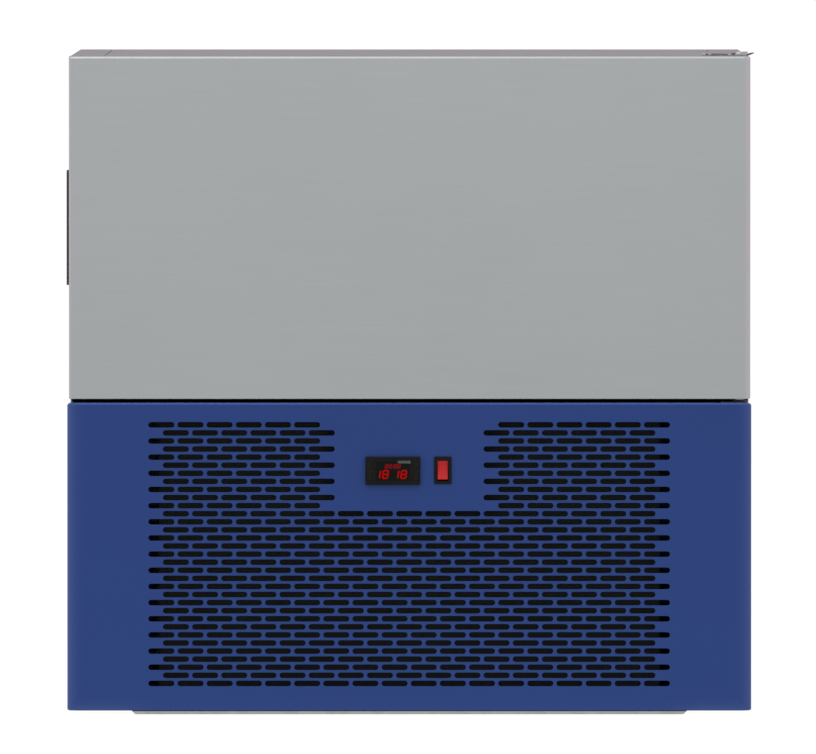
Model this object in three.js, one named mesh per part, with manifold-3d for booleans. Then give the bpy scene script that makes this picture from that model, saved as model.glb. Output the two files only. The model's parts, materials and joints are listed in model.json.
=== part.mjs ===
// Compact blast chiller: an insulated chamber for five pan levels with a side-hung door,
// standing on a machine compartment that is closed by a slotted fascia.
// Millimetres, +Z up, front of the appliance towards -Y, origin under the middle of the base.
import * as THREE from "three";
import { mergeVertices } from "three/addons/utils/BufferGeometryUtils.js";
import Module from "manifold-3d";

const wasm = await Module();
wasm.setup();

// ---------------------------------------------------------------- driving dimensions
const FASCIA_W = 800; // outer width of the fascia
const CAB_W = 794; // outer width of the cabinet behind it
const DOOR_W = 796.4;
const FRONT_Y = -400; // front plane of door and fascia
const DOOR_BACK_Y = -340;
const CAB_FRONT_Y = -330; // seal face of the cabinet
const REAR_Y = 395;
const SHEET = 1.2;
const GAP = 0.3; // clearance between neighbouring pieces

const FASCIA_Z0 = 4.7;
const FASCIA_Z1 = 364.7;
const DOOR_Z0 = 369;
const DOOR_Z1 = 769.2;
const CAB_Z0 = 366.5; // underside of the insulated box
const CAB_Z1 = 770; // top of the cabinet
const EDGE_R = 8; // bend radius of the vertical front edges

const CHAMBER_X = 340; // half width of the chamber
const CHAMBER_Z0 = 421;
const CHAMBER_Z1 = 719;
const CHAMBER_Y1 = 330; // rear wall of the chamber
const CHAMBER_R = 20;

const HINGE_X = 385.4;
const HINGE_Y = -370;
const HINGE_PIN_R = 4;

const BASE_X = 320.5; // half width of the pressed foot of the base pan
const BASE_Y0 = -391;
const BASE_Y1 = 386;

const LEVELS = [452, 506, 560, 614, 668]; // pan rails
const RAIL_X = 255; // inner edge of the pan ledges
const RAIL_BACK = 305;

const SLOT_L = 30.3; // slot field of the fascia
const SLOT_H = 6.3;
const SLOT_PITCH = 34.08;
const ROW_PITCH = 9.452;
const ROWS = 33;
const TOP_ROW_Z = 339.0;
const BRIDGE_EVERY_SLOT = true;

const CTRL = { x0: -51.4, x1: 12.8, z0: 268.7, z1: 301.7 }; // controller bezel
const SWITCH = { x0: 28.9, x1: 49.4, z0: 269.7, z1: 301.8 }; // rocker switch bezel
const ROCKER_AXIS = { x: 39.05, y: -396, z: 284.0 };
const ROCKER_REST_DEG = -10.5; // top half pressed in

const FAN_Z = 570; // chamber fan axis
const COND_FAN = { x: -65, z: 177 };

// ---------------------------------------------------------------- materials
const mat = (color, roughness, metalness) =>
  new THREE.MeshStandardMaterial({ color, roughness, metalness });
const STEEL = mat(0xa3a7a9, 0.38, 0.85);
const STEEL_INNER = mat(0xb9bcbe, 0.32, 0.9);
const BLUE = mat(0x30437a, 0.42, 0.1);
const BLACK = mat(0x1b1c1b, 0.5, 0.0);
const WINDOW = mat(0x0c0f0f, 0.08, 0.0);
const RED = mat(0xb82c2e, 0.3, 0.0);
const ZINC = mat(0x9c9699, 0.45, 0.8);
const FOAM = mat(0xe3d7a6, 0.95, 0.0);
const SEAL = mat(0x3a3b3d, 0.8, 0.0);
const INNER_DOOR = mat(0xc9cccd, 0.4, 0.6);
const COPPER = mat(0xb3673a, 0.35, 0.9);
const FINS = mat(0xb4b8ba, 0.45, 0.85);
const MACHINE_BLACK = mat(0x161616, 0.45, 0.2);
const WHITE_PLASTIC = mat(0xd9dad6, 0.55, 0.0);

// ---------------------------------------------------------------- solids
function solid(geometry) {
  let g = geometry.index ? geometry.toNonIndexed() : geometry.clone();
  const bare = new THREE.BufferGeometry().setAttribute(
    "position",
    g.getAttribute("position"),
  );
  g = mergeVertices(bare, 1e-4);
  const p = g.attributes.position.array;
  const tri = [];
  const ix = g.index.array;
  let six = 0;
  for (let i = 0; i < ix.length; i += 3) {
    const [a, b, c] = [ix[i], ix[i + 1], ix[i + 2]];
    if (a === b || b === c || a === c) continue;
    tri.push(a, b, c);
    const [A, B, C] = [a * 3, b * 3, c * 3];
    six +=
      p[A] * (p[B + 1] * p[C + 2] - p[B + 2] * p[C + 1]) -
      p[A + 1] * (p[B] * p[C + 2] - p[B + 2] * p[C]) +
      p[A + 2] * (p[B] * p[C + 1] - p[B + 1] * p[C]);
  }
  if (six < 0)
    for (let i = 0; i < tri.length; i += 3)
      [tri[i + 1], tri[i + 2]] = [tri[i + 2], tri[i + 1]];
  return new wasm.Manifold(
    new wasm.Mesh({
      numProp: 3,
      vertProperties: new Float32Array(p),
      triVerts: new Uint32Array(tri),
    }),
  );
}

const join = (...parts) => parts.flat().reduce((a, b) => a.add(b));
const cut = (a, ...tools) => tools.flat().reduce((r, t) => r.subtract(t), a);

function box(x0, x1, y0, y1, z0, z1) {
  return solid(
    new THREE.BoxGeometry(x1 - x0, y1 - y0, z1 - z0).translate(
      (x0 + x1) / 2,
      (y0 + y1) / 2,
      (z0 + z1) / 2,
    ),
  );
}

const shapeOf = (pts, holes = []) => {
  const s = new THREE.Shape(pts.map(([u, v]) => new THREE.Vector2(u, v)));
  for (const h of holes)
    s.holes.push(new THREE.Path(h.map(([u, v]) => new THREE.Vector2(u, v))));
  return s;
};

// A flat shape given in one pair of axes and run along the third from a to b.
function prism(plane, shapes, a, b) {
  const g = new THREE.ExtrudeGeometry(shapes, {
    depth: b - a,
    bevelEnabled: false,
    steps: 1,
    curveSegments: 8,
  });
  if (plane === "XY") g.translate(0, 0, a);
  if (plane === "XZ") g.rotateX(Math.PI / 2).translate(0, b, 0);
  if (plane === "YZ") {
    g.applyMatrix4(
      new THREE.Matrix4().makeBasis(
        new THREE.Vector3(0, 1, 0),
        new THREE.Vector3(0, 0, 1),
        new THREE.Vector3(1, 0, 0),
      ),
    ).translate(a, 0, 0);
  }
  return solid(g);
}

function roundRect(x0, x1, y0, y1, r, seg = 4) {
  const pts = [];
  const corners = [
    [x1 - r, y0 + r, -90],
    [x1 - r, y1 - r, 0],
    [x0 + r, y1 - r, 90],
    [x0 + r, y0 + r, 180],
  ];
  for (const [cx, cy, from] of corners)
    for (let i = 0; i <= seg; i++) {
      const t = ((from + (90 * i) / seg) * Math.PI) / 180;
      pts.push([cx + r * Math.cos(t), cy + r * Math.sin(t)]);
    }
  return pts;
}

function circle(cx, cy, r, n = 16) {
  const pts = [];
  for (let i = 0; i < n; i++) {
    const t = (2 * Math.PI * (i + 0.5)) / n;
    pts.push([cx + r * Math.cos(t), cy + r * Math.sin(t)]);
  }
  return pts;
}

// A turned piece: profile of [radius, height] pairs about an axis through (cx, cy, cz).
function turned(profile, axis, cx, cy, cz, n = 16) {
  const closed =
    profile[0][0] === 0 && profile[profile.length - 1][0] === 0
      ? profile
      : [...profile, profile[0]];
  const g = new THREE.LatheGeometry(
    closed.map(([r, h]) => new THREE.Vector2(r, h)),
    n,
  );
  if (axis === "z") g.rotateX(Math.PI / 2);
  if (axis === "x") g.rotateZ(-Math.PI / 2);
  return solid(g.translate(cx, cy, cz));
}

const rod = (axis, r, a, b, u, v, n = 16) => {
  const plane = { x: "YZ", y: "XZ", z: "XY" }[axis];
  return prism(plane, shapeOf(circle(u, v, r, n)), a, b);
};

// A four-sided pan shape between two levels.
function frustum(lo, hi, z0, z1) {
  const v = [
    [lo[0], lo[2], z0],
    [lo[1], lo[2], z0],
    [lo[1], lo[3], z0],
    [lo[0], lo[3], z0],
    [hi[0], hi[2], z1],
    [hi[1], hi[2], z1],
    [hi[1], hi[3], z1],
    [hi[0], hi[3], z1],
  ];
  const f = [
    [0, 2, 1], [0, 3, 2], [4, 5, 6], [4, 6, 7],
    [0, 1, 5], [0, 5, 4], [1, 2, 6], [1, 6, 5],
    [2, 3, 7], [2, 7, 6], [3, 0, 4], [3, 4, 7],
  ];
  const g = new THREE.BufferGeometry();
  g.setAttribute(
    "position",
    new THREE.Float32BufferAttribute(f.flat().flatMap((i) => v[i]), 3),
  );
  return solid(g);
}

// A tube along a smooth path.
function pipe(points, r, steps = 24, sides = 8) {
  const path = new THREE.CatmullRomCurve3(
    points.map((p) => new THREE.Vector3(...p)),
    false,
    "centripetal",
  );
  return solid(
    new THREE.ExtrudeGeometry(shapeOf(circle(0, 0, r, sides)), {
      steps,
      extrudePath: path,
      bevelEnabled: false,
    }),
  );
}

// ---------------------------------------------------------------- scene graph
const chiller = new THREE.Group();
const cabinet = new THREE.Group();
const chamber = new THREE.Group();
const door = new THREE.Group();
const fascia = new THREE.Group();
const machine = new THREE.Group();
door.position.set(HINGE_X, HINGE_Y, 0);
chamber.position.set(0, 0, CHAMBER_Z0);
fascia.position.set(0, FRONT_Y, 0);
chiller.add(cabinet, chamber, door, fascia, machine);

// Adds a piece to its group, with the piece's own origin at `at`.
function place(group, name, body, material, at = [0, 0, 0]) {
  const m = body.simplify(0.004).getMesh();
  const n = m.numProp;
  const v = new Float32Array(m.numVert * 3);
  for (let i = 0; i < m.numVert; i++)
    for (let k = 0; k < 3; k++)
      v[i * 3 + k] = m.vertProperties[i * n + k] - at[k];
  const g = new THREE.BufferGeometry();
  g.setAttribute("position", new THREE.BufferAttribute(v, 3));
  g.setIndex(new THREE.BufferAttribute(new Uint32Array(m.triVerts), 1));
  g.computeVertexNormals();
  const mesh = new THREE.Mesh(g, material);
  mesh.name = name;
  mesh.position.set(
    at[0] - group.position.x,
    at[1] - group.position.y,
    at[2] - group.position.z,
  );
  group.add(mesh);
  return mesh;
}

// ================================================================ base and cabinet shell
const cabX = CAB_W / 2;

// Base pan: a flat tray pressed down in the middle, so that its foot stands 4.7 mm below the fascia.
{
  const plate = box(-cabX + 0.1, cabX - 0.1, -395.5, 393, 6.2, 7.7);
  const foot = frustum(
    [-BASE_X, BASE_X, BASE_Y0, BASE_Y1],
    [-BASE_X - 6.3, BASE_X + 6.3, BASE_Y0 - 4.0, BASE_Y1 + 5],
    0,
    6.3,
  );
  const hollow = frustum(
    [-BASE_X + 1, BASE_X - 1, BASE_Y0 + 1, BASE_Y1 - 1],
    [-BASE_X - 5.5, BASE_X + 5.5, BASE_Y0 - 3.2, BASE_Y1 + 4.2],
    1.5,
    8,
  );
  place(cabinet, "base_pan", cut(join(plate, foot), hollow), ZINC, [0, 0, 6.2]);
}

const HINGE_SCREWS = [
  [349.6, -303],
  [378.7, -303],
];
const FASCIA_SCREW = { y: -322, z: 185 };

// Side panels: one sheet each, folded inwards over the top and under the bottom.
for (const side of [-1, 1]) {
  const x = (v) => side * v;
  const profile = [
    [x(cabX), 8],
    [x(cabX), CAB_Z1],
    [x(357), CAB_Z1],
    [x(357), CAB_Z1 - SHEET],
    [x(cabX - SHEET), CAB_Z1 - SHEET],
    [x(cabX - SHEET), 8 + SHEET],
    [x(377), 8 + SHEET],
    [x(377), 8],
  ];
  if (side > 0) profile.reverse();
  let panel = prism("XZ", shapeOf(profile), CAB_FRONT_Y, REAR_Y);
  panel = cut(
    panel,
    side > 0
      ? rod("x", 2.6, 390, 400, FASCIA_SCREW.y, FASCIA_SCREW.z, 10)
      : rod("x", 2.6, -400, -390, FASCIA_SCREW.y, FASCIA_SCREW.z, 10),
  );
  if (side > 0)
    panel = cut(panel, rod("z", 2.7, 765, 772, HINGE_SCREWS[1][0], HINGE_SCREWS[1][1], 10));
  place(
    cabinet,
    side < 0 ? "side_panel_left" : "side_panel_right",
    panel,
    STEEL,
    [x(cabX), 0, 400],
  );
}

// Top panel between the two side folds, with its rear edge folded down.
place(
  cabinet,
  "top_panel",
  cut(
    prism(
      "YZ",
      shapeOf([
        [CAB_FRONT_Y, CAB_Z1],
        [CAB_FRONT_Y, CAB_Z1 - SHEET],
        [REAR_Y - SHEET, CAB_Z1 - SHEET],
        [REAR_Y - SHEET, 744.3],
        [REAR_Y, 744.3],
        [REAR_Y, CAB_Z1],
      ]),
      -356,
      356,
    ),
    rod("z", 2.7, 765, 772, HINGE_SCREWS[0][0], HINGE_SCREWS[0][1], 10),
  ),
  STEEL,
  [0, 0, CAB_Z1],
);

const insideX = cabX - SHEET - GAP;
place(
  cabinet,
  "rear_upper_panel",
  prism(
    "XZ",
    shapeOf([
      [-insideX, 368],
      [insideX, 368],
      [insideX, CAB_Z1 - SHEET - GAP],
      [356.5, CAB_Z1 - SHEET - GAP],
      [356.5, 744],
      [-356.5, 744],
      [-356.5, CAB_Z1 - SHEET - GAP],
      [-insideX, CAB_Z1 - SHEET - GAP],
    ]),
    REAR_Y - SHEET,
    REAR_Y,
  ),
  ZINC,
  [0, REAR_Y, 556],
);

const GLAND = { x: 320, z: 60 };
{
  const louvres = [];
  for (const cx of [-190, 60])
    for (let i = 0; i < 12; i++)
      louvres.push(
        shapeOf([
          [cx - 95, 96.5 + i * 18],
          [cx + 95, 96.5 + i * 18],
          [cx + 95, 103.5 + i * 18],
          [cx - 95, 103.5 + i * 18],
        ]),
      );
  place(
    cabinet,
    "rear_lower_panel",
    cut(
      box(-insideX, insideX, REAR_Y - SHEET, REAR_Y, 9.5, 366.2),
      prism("XZ", louvres, 390, 400),
      rod("y", 8.6, 390, 400, GLAND.x, GLAND.z, 16),
    ),
    ZINC,
    [0, REAR_Y, 188],
  );
}

// Ports for the refrigerant lines and the drain.
const PORT = { x0: 250, x1: 292, y0: 240, y1: 282 };
const DRAIN = { x: -200, y: 235 };
const portBox = (z0, z1) => box(PORT.x0, PORT.x1, PORT.y0, PORT.y1, z0, z1);
const drainHole = (r, z0, z1) => rod("z", r, z0, z1, DRAIN.x, DRAIN.y, 16);

place(
  cabinet,
  "mid_deck",
  cut(
    box(-insideX, insideX, CAB_FRONT_Y, REAR_Y - SHEET - GAP, CAB_Z0, CAB_Z0 + SHEET),
    portBox(360, 370),
    drainHole(9.5, 360, 370),
  ),
  ZINC,
  [0, 0, CAB_Z0],
);

// Seal face round the chamber's mouth.
place(
  cabinet,
  "front_frame",
  prism(
    "XZ",
    shapeOf(roundRect(-insideX, insideX, 368, 768.5, 1.5, 1), [
      roundRect(-CHAMBER_X, CHAMBER_X, CHAMBER_Z0, CHAMBER_Z1, CHAMBER_R).reverse(),
    ]),
    CAB_FRONT_Y,
    CAB_FRONT_Y + 2,
  ),
  STEEL_INNER,
  [0, CAB_FRONT_Y, 570],
);

// Chamber liner: a deep-drawn tub, open at the front.
{
  const outer = prism(
    "XZ",
    shapeOf(
      roundRect(
        -CHAMBER_X - SHEET,
        CHAMBER_X + SHEET,
        CHAMBER_Z0 - SHEET,
        CHAMBER_Z1 + SHEET,
        CHAMBER_R + SHEET,
      ),
    ),
    CAB_FRONT_Y + 2 + GAP,
    CHAMBER_Y1 + SHEET,
  );
  const inner = prism(
    "XZ",
    shapeOf(roundRect(-CHAMBER_X, CHAMBER_X, CHAMBER_Z0, CHAMBER_Z1, CHAMBER_R)),
    -345,
    CHAMBER_Y1,
  );
  place(
    chamber,
    "chamber_liner",
    cut(outer, inner, portBox(415, 425), drainHole(9.5, 415, 425)),
    STEEL_INNER,
    [0, 0, CHAMBER_Z0],
  );
}

// Foamed insulation round the liner.
{
  const m = SHEET + GAP;
  const block = box(
    -insideX,
    insideX,
    CAB_FRONT_Y + 2 + GAP,
    REAR_Y - SHEET - GAP,
    CAB_Z0 + SHEET + GAP,
    CAB_Z1 - SHEET - GAP,
  );
  const hollow = prism(
    "XZ",
    shapeOf(
      roundRect(
        -CHAMBER_X - m,
        CHAMBER_X + m,
        CHAMBER_Z0 - m,
        CHAMBER_Z1 + m,
        CHAMBER_R + m,
      ),
    ),
    -345,
    CHAMBER_Y1 + m,
  );
  let foam = cut(block, hollow, portBox(360, 425), drainHole(9.5, 360, 425));
  for (const [sx, sy] of HINGE_SCREWS)
    foam = cut(foam, rod("z", 2.7, 755, 772, sx, sy, 10));
  place(cabinet, "cabinet_foam", foam, FOAM, [0, 0, 568]);
}

// ================================================================ inside the chamber
for (const side of [-1, 1]) {
  const span = (a, b) => (side < 0 ? [-b, -a] : [a, b]);
  const wall = CHAMBER_X - GAP;
  const parts = [];
  for (const y of [-240, 60])
    parts.push(box(...span(RAIL_BACK - 0.5, wall), y - 7, y + 7, 442, 698));
  for (const z of LEVELS) {
    parts.push(box(...span(RAIL_X, RAIL_BACK), -290, 100, z, z + 2));
    parts.push(box(...span(RAIL_BACK - 2, RAIL_BACK), -290, 100, z, z + 14));
  }
  place(
    chamber,
    side < 0 ? "tray_guide_left" : "tray_guide_right",
    join(parts),
    STEEL_INNER,
    [side * wall, -90, 570],
  );
}

// Air baffle in front of the evaporator.
const BAFFLE_Y = 128;
{
  const sheet = cut(
    box(-300, 300, BAFFLE_Y, BAFFLE_Y + 22, 424, 716),
    box(
      -300 + SHEET,
      300 - SHEET,
      BAFFLE_Y + SHEET,
      BAFFLE_Y + 30,
      424 + SHEET,
      716 - SHEET,
    ),
  );
  const slots = [];
  for (const s of [-1, 1])
    for (let i = 0; i < 9; i++) {
      const cz = FAN_Z + (i - 4) * 26;
      slots.push(
        shapeOf([
          [s * 215 - 45, cz - 4],
          [s * 215 + 45, cz - 4],
          [s * 215 + 45, cz + 4],
          [s * 215 - 45, cz + 4],
        ]),
      );
    }
  place(
    chamber,
    "air_baffle",
    cut(
      sheet,
      rod("y", 118, BAFFLE_Y - 5, BAFFLE_Y + 5, 0, FAN_Z, 32),
      prism("XZ", slots, BAFFLE_Y - 5, BAFFLE_Y + 5),
    ),
    STEEL_INNER,
    [0, BAFFLE_Y, FAN_Z],
  );
}

// Wire guard over the fan opening.
{
  const ring = (r) =>
    turned(
      [
        [r - 1.5, -1.5],
        [r + 1.5, -1.5],
        [r + 1.5, 1.5],
        [r - 1.5, 1.5],
      ],
      "y",
      0,
      115.5,
      FAN_Z,
      20,
    );
  const parts = [44, 81, 118].map(ring);
  parts.push(box(-119, 119, 116, 119, FAN_Z - 1.5, FAN_Z + 1.5));
  parts.push(box(-1.5, 1.5, 116, 119, FAN_Z - 119, FAN_Z + 119));
  for (const s of [-1, 1]) {
    parts.push(box(s * 124 - 6, s * 124 + 6, 116, 127.7, FAN_Z - 4, FAN_Z + 4));
    parts.push(box(-4, 4, 116, 127.7, FAN_Z + s * 124 - 6, FAN_Z + s * 124 + 6));
  }
  place(chamber, "evaporator_fan_guard", join(parts), STEEL_INNER, [0, 117, FAN_Z]);
}

// An axial fan wheel about an axis along Y.
function fanWheel(cx, cz, y0, y1, hubR, tipR, blades, pitchDeg, chord) {
  const mid = (y0 + y1) / 2;
  const hub = cut(
    rod("y", hubR, y0, y1, cx, cz, 20),
    rod("y", 4.4, y1 - 14, y1 + 1, cx, cz, 12),
  );
  const parts = [hub];
  const outline = shapeOf([
    [hubR - 4, -chord * 0.32],
    [tipR * 0.72, -chord * 0.5],
    [tipR - 2, -chord * 0.44],
    [tipR, 0],
    [tipR - 3, chord * 0.46],
    [tipR * 0.7, chord * 0.44],
    [hubR - 4, chord * 0.3],
  ]);
  for (let i = 0; i < blades; i++) {
    // x is radial, y tangential, z the thickness; the wheel's axis is then along z
    const g = new THREE.ExtrudeGeometry(outline, { depth: 1.6, bevelEnabled: false });
    g.translate(0, 0, -0.8);
    g.rotateX((pitchDeg * Math.PI) / 180);
    g.rotateZ((2 * Math.PI * i) / blades);
    g.rotateX(Math.PI / 2);
    g.translate(cx, mid, cz);
    parts.push(solid(g));
  }
  return join(parts);
}

place(
  chamber,
  "evaporator_fan_rotor",
  fanWheel(0, FAN_Z, 136, 160, 27, 110, 5, 26, 56),
  WHITE_PLASTIC,
  [0, 148, FAN_Z],
);
place(
  chamber,
  "evaporator_fan_motor",
  join(
    turned(
      [
        [0, 166],
        [26, 166],
        [34, 171],
        [34, 196],
        [28, 200],
        [0, 200],
      ],
      "y",
      0,
      0,
      FAN_Z,
      20,
    ),
    rod("y", 4, 148, 168, 0, FAN_Z, 12),
  ),
  MACHINE_BLACK,
  [0, 166, FAN_Z],
);
place(
  chamber,
  "evaporator_motor_bracket",
  prism(
    "YZ",
    shapeOf([
      [129.5, 428],
      [132.5, 428],
      [132.5, 445],
      [203.3, 445],
      [203.3, 695],
      [132.5, 695],
      [132.5, 712],
      [129.5, 712],
      [129.5, 692],
      [200.3, 692],
      [200.3, 448],
      [129.5, 448],
    ]),
    -15,
    15,
  ),
  ZINC,
  [0, 200.3, FAN_Z],
);

// A finned coil: grooves stand for the fin spacing, return bends at its right end.
function coil(x0, x1, y0, y1, z0, z1, rows, fins) {
  const pts = [[x0, y1]];
  const w = (x1 - x0) / fins;
  for (let i = 0; i < fins; i++) {
    const a = x0 + i * w;
    pts.push([a, y0]);
    pts.push([a + w * 0.45, y0]);
    pts.push([a + w * 0.45, y0 + 9]);
    pts.push([a + w, y0 + 9]);
  }
  pts.push([x1, y0 + 9], [x1, y1]);
  const clean = pts.filter(
    (p, i) => i === 0 || p[0] !== pts[i - 1][0] || p[1] !== pts[i - 1][1],
  );
  const parts = [
    prism("XY", shapeOf(clean), z0 + 1, z1 - 1),
    box(x0 - 2, x0 + 0.5, y0, y1, z0, z1),
    box(x1 - 0.5, x1 + 2, y0, y1, z0, z1),
  ];
  const step = (z1 - z0) / rows;
  for (let i = 0; i < rows; i++) {
    const cz = z0 + step * (i + 0.5);
    const cy = (y0 + y1) / 2;
    const half = Math.min(13, (y1 - y0) / 4);
    parts.push(
      pipe(
        [
          [x1 - 1, cy - half, cz],
          [x1 + 8, cy - half, cz],
          [x1 + 16, cy - half * 0.5, cz],
          [x1 + 18, cy, cz],
          [x1 + 16, cy + half * 0.5, cz],
          [x1 + 8, cy + half, cz],
          [x1 - 1, cy + half, cz],
        ],
        4,
        6,
        5,
      ),
    );
  }
  return join(parts);
}

place(
  chamber,
  "evaporator_coil",
  coil(-250, 215, 215, 300, 440, 700, 6, 16),
  FINS,
  [-17, 257, FAN_Z],
);

// Drain: a flanged tube from the chamber floor down to the evaporation tray.
place(
  machine,
  "drain_tube",
  turned(
    [
      [7, 20],
      [9, 20],
      [9, 421.3],
      [16, 421.3],
      [16, 422.6],
      [7, 422.6],
    ],
    "z",
    DRAIN.x,
    DRAIN.y,
    0,
    14,
  ),
  WHITE_PLASTIC,
  [DRAIN.x, DRAIN.y, 421.3],
);
place(
  machine,
  "condensate_tray",
  cut(
    frustum([-322, -108, 148, 332], [-326, -104, 144, 336], 8, 50),
    frustum([-320, -110, 150, 330], [-324.5, -105.5, 145.5, 334.5], 10, 52),
  ),
  WHITE_PLASTIC,
  [-215, 240, 8],
);

// Core probe parked in its holder on the right wall.
const PROBE = { x: 326, y: -309 };
place(
  chamber,
  "probe_holder",
  cut(
    join(
      box(315, CHAMBER_X - GAP, -319, -299, 590, 593),
      box(CHAMBER_X - GAP - 2, CHAMBER_X - GAP, -319, -299, 574, 622),
    ),
    rod("z", 2.8, 585, 600, PROBE.x, PROBE.y, 12),
  ),
  STEEL_INNER,
  [PROBE.x, PROBE.y, 590],
);
place(
  chamber,
  "core_probe",
  turned(
    [
      [0, 463],
      [2, 471],
      [2, 593.3],
      [6.5, 593.3],
      [7, 600],
      [7, 655],
      [5, 664],
      [0, 664],
    ],
    "z",
    PROBE.x,
    PROBE.y,
    0,
    14,
  ),
  BLACK,
  [PROBE.x, PROBE.y, 593.3],
);

// ================================================================ door
const doorX = DOOR_W / 2;
const HANDLE = { y0: -389, y1: -351, z0: 502, z1: 636.5 };

// U-shaped wall with rounded front corners, seen from above.
function wrap(half, yFront, yBack, r, t, seg = 3) {
  const arc = (cx, cy, rad, from, to) => {
    const out = [];
    for (let i = 0; i <= seg; i++) {
      const a = ((from + ((to - from) * i) / seg) * Math.PI) / 180;
      out.push([cx + rad * Math.cos(a), cy + rad * Math.sin(a)]);
    }
    return out;
  };
  return [
    [-half, yBack],
    ...arc(-half + r, yFront + r, r, 180, 270),
    ...arc(half - r, yFront + r, r, 270, 360),
    [half, yBack],
    [half - t, yBack],
    ...arc(half - r, yFront + r, r - t, 360, 270),
    ...arc(-half + r, yFront + r, r - t, 270, 180),
    [-half + t, yBack],
  ];
}

{
  const y1 = -346;
  const lid = (z0, z1) =>
    prism(
      "XY",
      shapeOf([
        [-doorX + 0.6, y1],
        [-doorX + 0.6, FRONT_Y + EDGE_R],
        [-doorX + EDGE_R, FRONT_Y + 0.6],
        [doorX - EDGE_R, FRONT_Y + 0.6],
        [doorX - 0.6, FRONT_Y + EDGE_R],
        [doorX - 0.6, y1],
      ]),
      z0,
      z1,
    );
  const skin = join(
    prism("XY", shapeOf(wrap(doorX, FRONT_Y, y1, EDGE_R, SHEET)), DOOR_Z0, DOOR_Z1),
    lid(DOOR_Z0, DOOR_Z0 + SHEET),
    lid(DOOR_Z1 - SHEET, DOOR_Z1),
  );
  place(
    door,
    "door_skin",
    cut(
      skin,
      rod("z", 9.4, 360, 372, HINGE_X, HINGE_Y, 20),
      rod("z", 9.4, 765, 775, HINGE_X, HINGE_Y, 20),
      box(-405, -395, HANDLE.y0 + 3.7, HANDLE.y1 - 3.7, HANDLE.z0 + 4.7, HANDLE.z1 - 4.7),
    ),
    STEEL,
    [0, FRONT_Y, 569.1],
  );

  const x1 = doorX - SHEET - GAP;
  const foam = join(
    box(-x1, x1, FRONT_Y + SHEET + GAP + 5.5, -346, DOOR_Z0 + 1.5, DOOR_Z1 - 1.5),
    box(-x1 + 5.5, x1 - 5.5, FRONT_Y + SHEET + GAP, -390, DOOR_Z0 + 1.5, DOOR_Z1 - 1.5),
    box(-394.4, 394.4, -347, -341.8, 373.3, 764.9),
    // fills the raised field of the inner panel
    frustum([-352.9, 352.9, -159.9, 159.9], [-347.9, 347.9, -154.9, 154.9], -342, -336.3)
      .rotate([-90, 0, 0])
      .translate([0, 0, 569]),
  );
  place(
    door,
    "door_foam",
    cut(
      foam,
      box(-405, -371.7, HANDLE.y0 + 3.6, HANDLE.y1 - 3.6, HANDLE.z0 + 4.6, HANDLE.z1 - 4.6),
      rod("z", 9.4, 360, 401, HINGE_X, HINGE_Y, 20),
      rod("z", 9.4, 734, 775, HINGE_X, HINGE_Y, 20),
    ),
    FOAM,
    [0, -370, 569.1],
  );
}

// Inner panel with a raised field inside the seal.
{
  const rot = (m) => m; // the panel is drawn flat and stood up below
  const flat = (x0, x1, z0, z1, y0, y1) => box(x0, x1, y0, y1, z0, z1);
  const rim = cut(
    flat(-397.9, 397.9, 369.3, 768.9, -345.7, DOOR_BACK_Y),
    flat(-394.7, 394.7, 373, 765.2, -346, -341.5),
  );
  const raised = (grow, y0, y1) => {
    // frustum() builds in Z, so build it lying down and turn it to face +Y
    const g = frustum(
      [-355 + grow, 355 - grow, -162 + grow, 162 - grow],
      [-350 + grow, 350 - grow, -157 + grow, 157 - grow],
      y0,
      y1,
    );
    return g.rotate([-90, 0, 0]).translate([0, 0, 569]);
  };
  const panel = cut(
    join(rim, raised(0, -340.5, -334.5)),
    rot(raised(1.5, -342, -336)),
  );
  place(door, "door_inner_panel", panel, INNER_DOOR, [0, DOOR_BACK_Y, 569.1]);
}

// Magnetic seal: one frame with a bellows groove all round.
{
  const ring = (a, b, y0, y1) =>
    prism(
      "XZ",
      shapeOf(roundRect(-a, a, 569 - a + 190, 569 + a - 190, 6, 2), [
        roundRect(-b, b, 569 - b + 190, 569 + b - 190, 3, 2).reverse(),
      ]),
      y0,
      y1,
    );
  place(
    door,
    "door_gasket",
    join(
      ring(382, 362, -339.7, -337),
      ring(378, 366, -337.5, -333.5),
      ring(382, 362, -334, -330.3),
    ),
    SEAL,
    [0, -335, 569],
  );
}

// Recessed finger grip let into the free edge of the door.
{
  const x0 = -400.7;
  const x1 = -doorX - GAP;
  const grip = join(
    prism(
      "YZ",
      shapeOf(roundRect(HANDLE.y0, HANDLE.y1, HANDLE.z0, HANDLE.z1, 3, 2)),
      x0,
      x1,
    ),
    box(x1 - 0.5, -372, HANDLE.y0 + 4, HANDLE.y1 - 4, HANDLE.z0 + 5, HANDLE.z1 - 5),
  );
  place(
    door,
    "door_handle",
    cut(
      grip,
      prism(
        "YZ",
        shapeOf(
          roundRect(HANDLE.y0 + 6, HANDLE.y1 - 6, HANDLE.z0 + 7, HANDLE.z1 - 7, 4, 2),
        ),
        -405,
        -374,
      ),
    ),
    BLACK,
    [x1, -370, 569.2],
  );
}

// ================================================================ hinges
const bush = (z0, z1, b0, b1) =>
  cut(
    rod("z", 9, z0, z1, HINGE_X, HINGE_Y, 20),
    rod("z", HINGE_PIN_R + 0.35, b0, b1, HINGE_X, HINGE_Y, 16),
  );
place(door, "upper_hinge_bush", bush(735, DOOR_Z1, 740, 775), WHITE_PLASTIC, [
  HINGE_X,
  HINGE_Y,
  DOOR_Z1,
]);
place(door, "lower_hinge_bush", bush(DOOR_Z0, 400, 365, 397), WHITE_PLASTIC, [
  HINGE_X,
  HINGE_Y,
  DOOR_Z0,
]);

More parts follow.
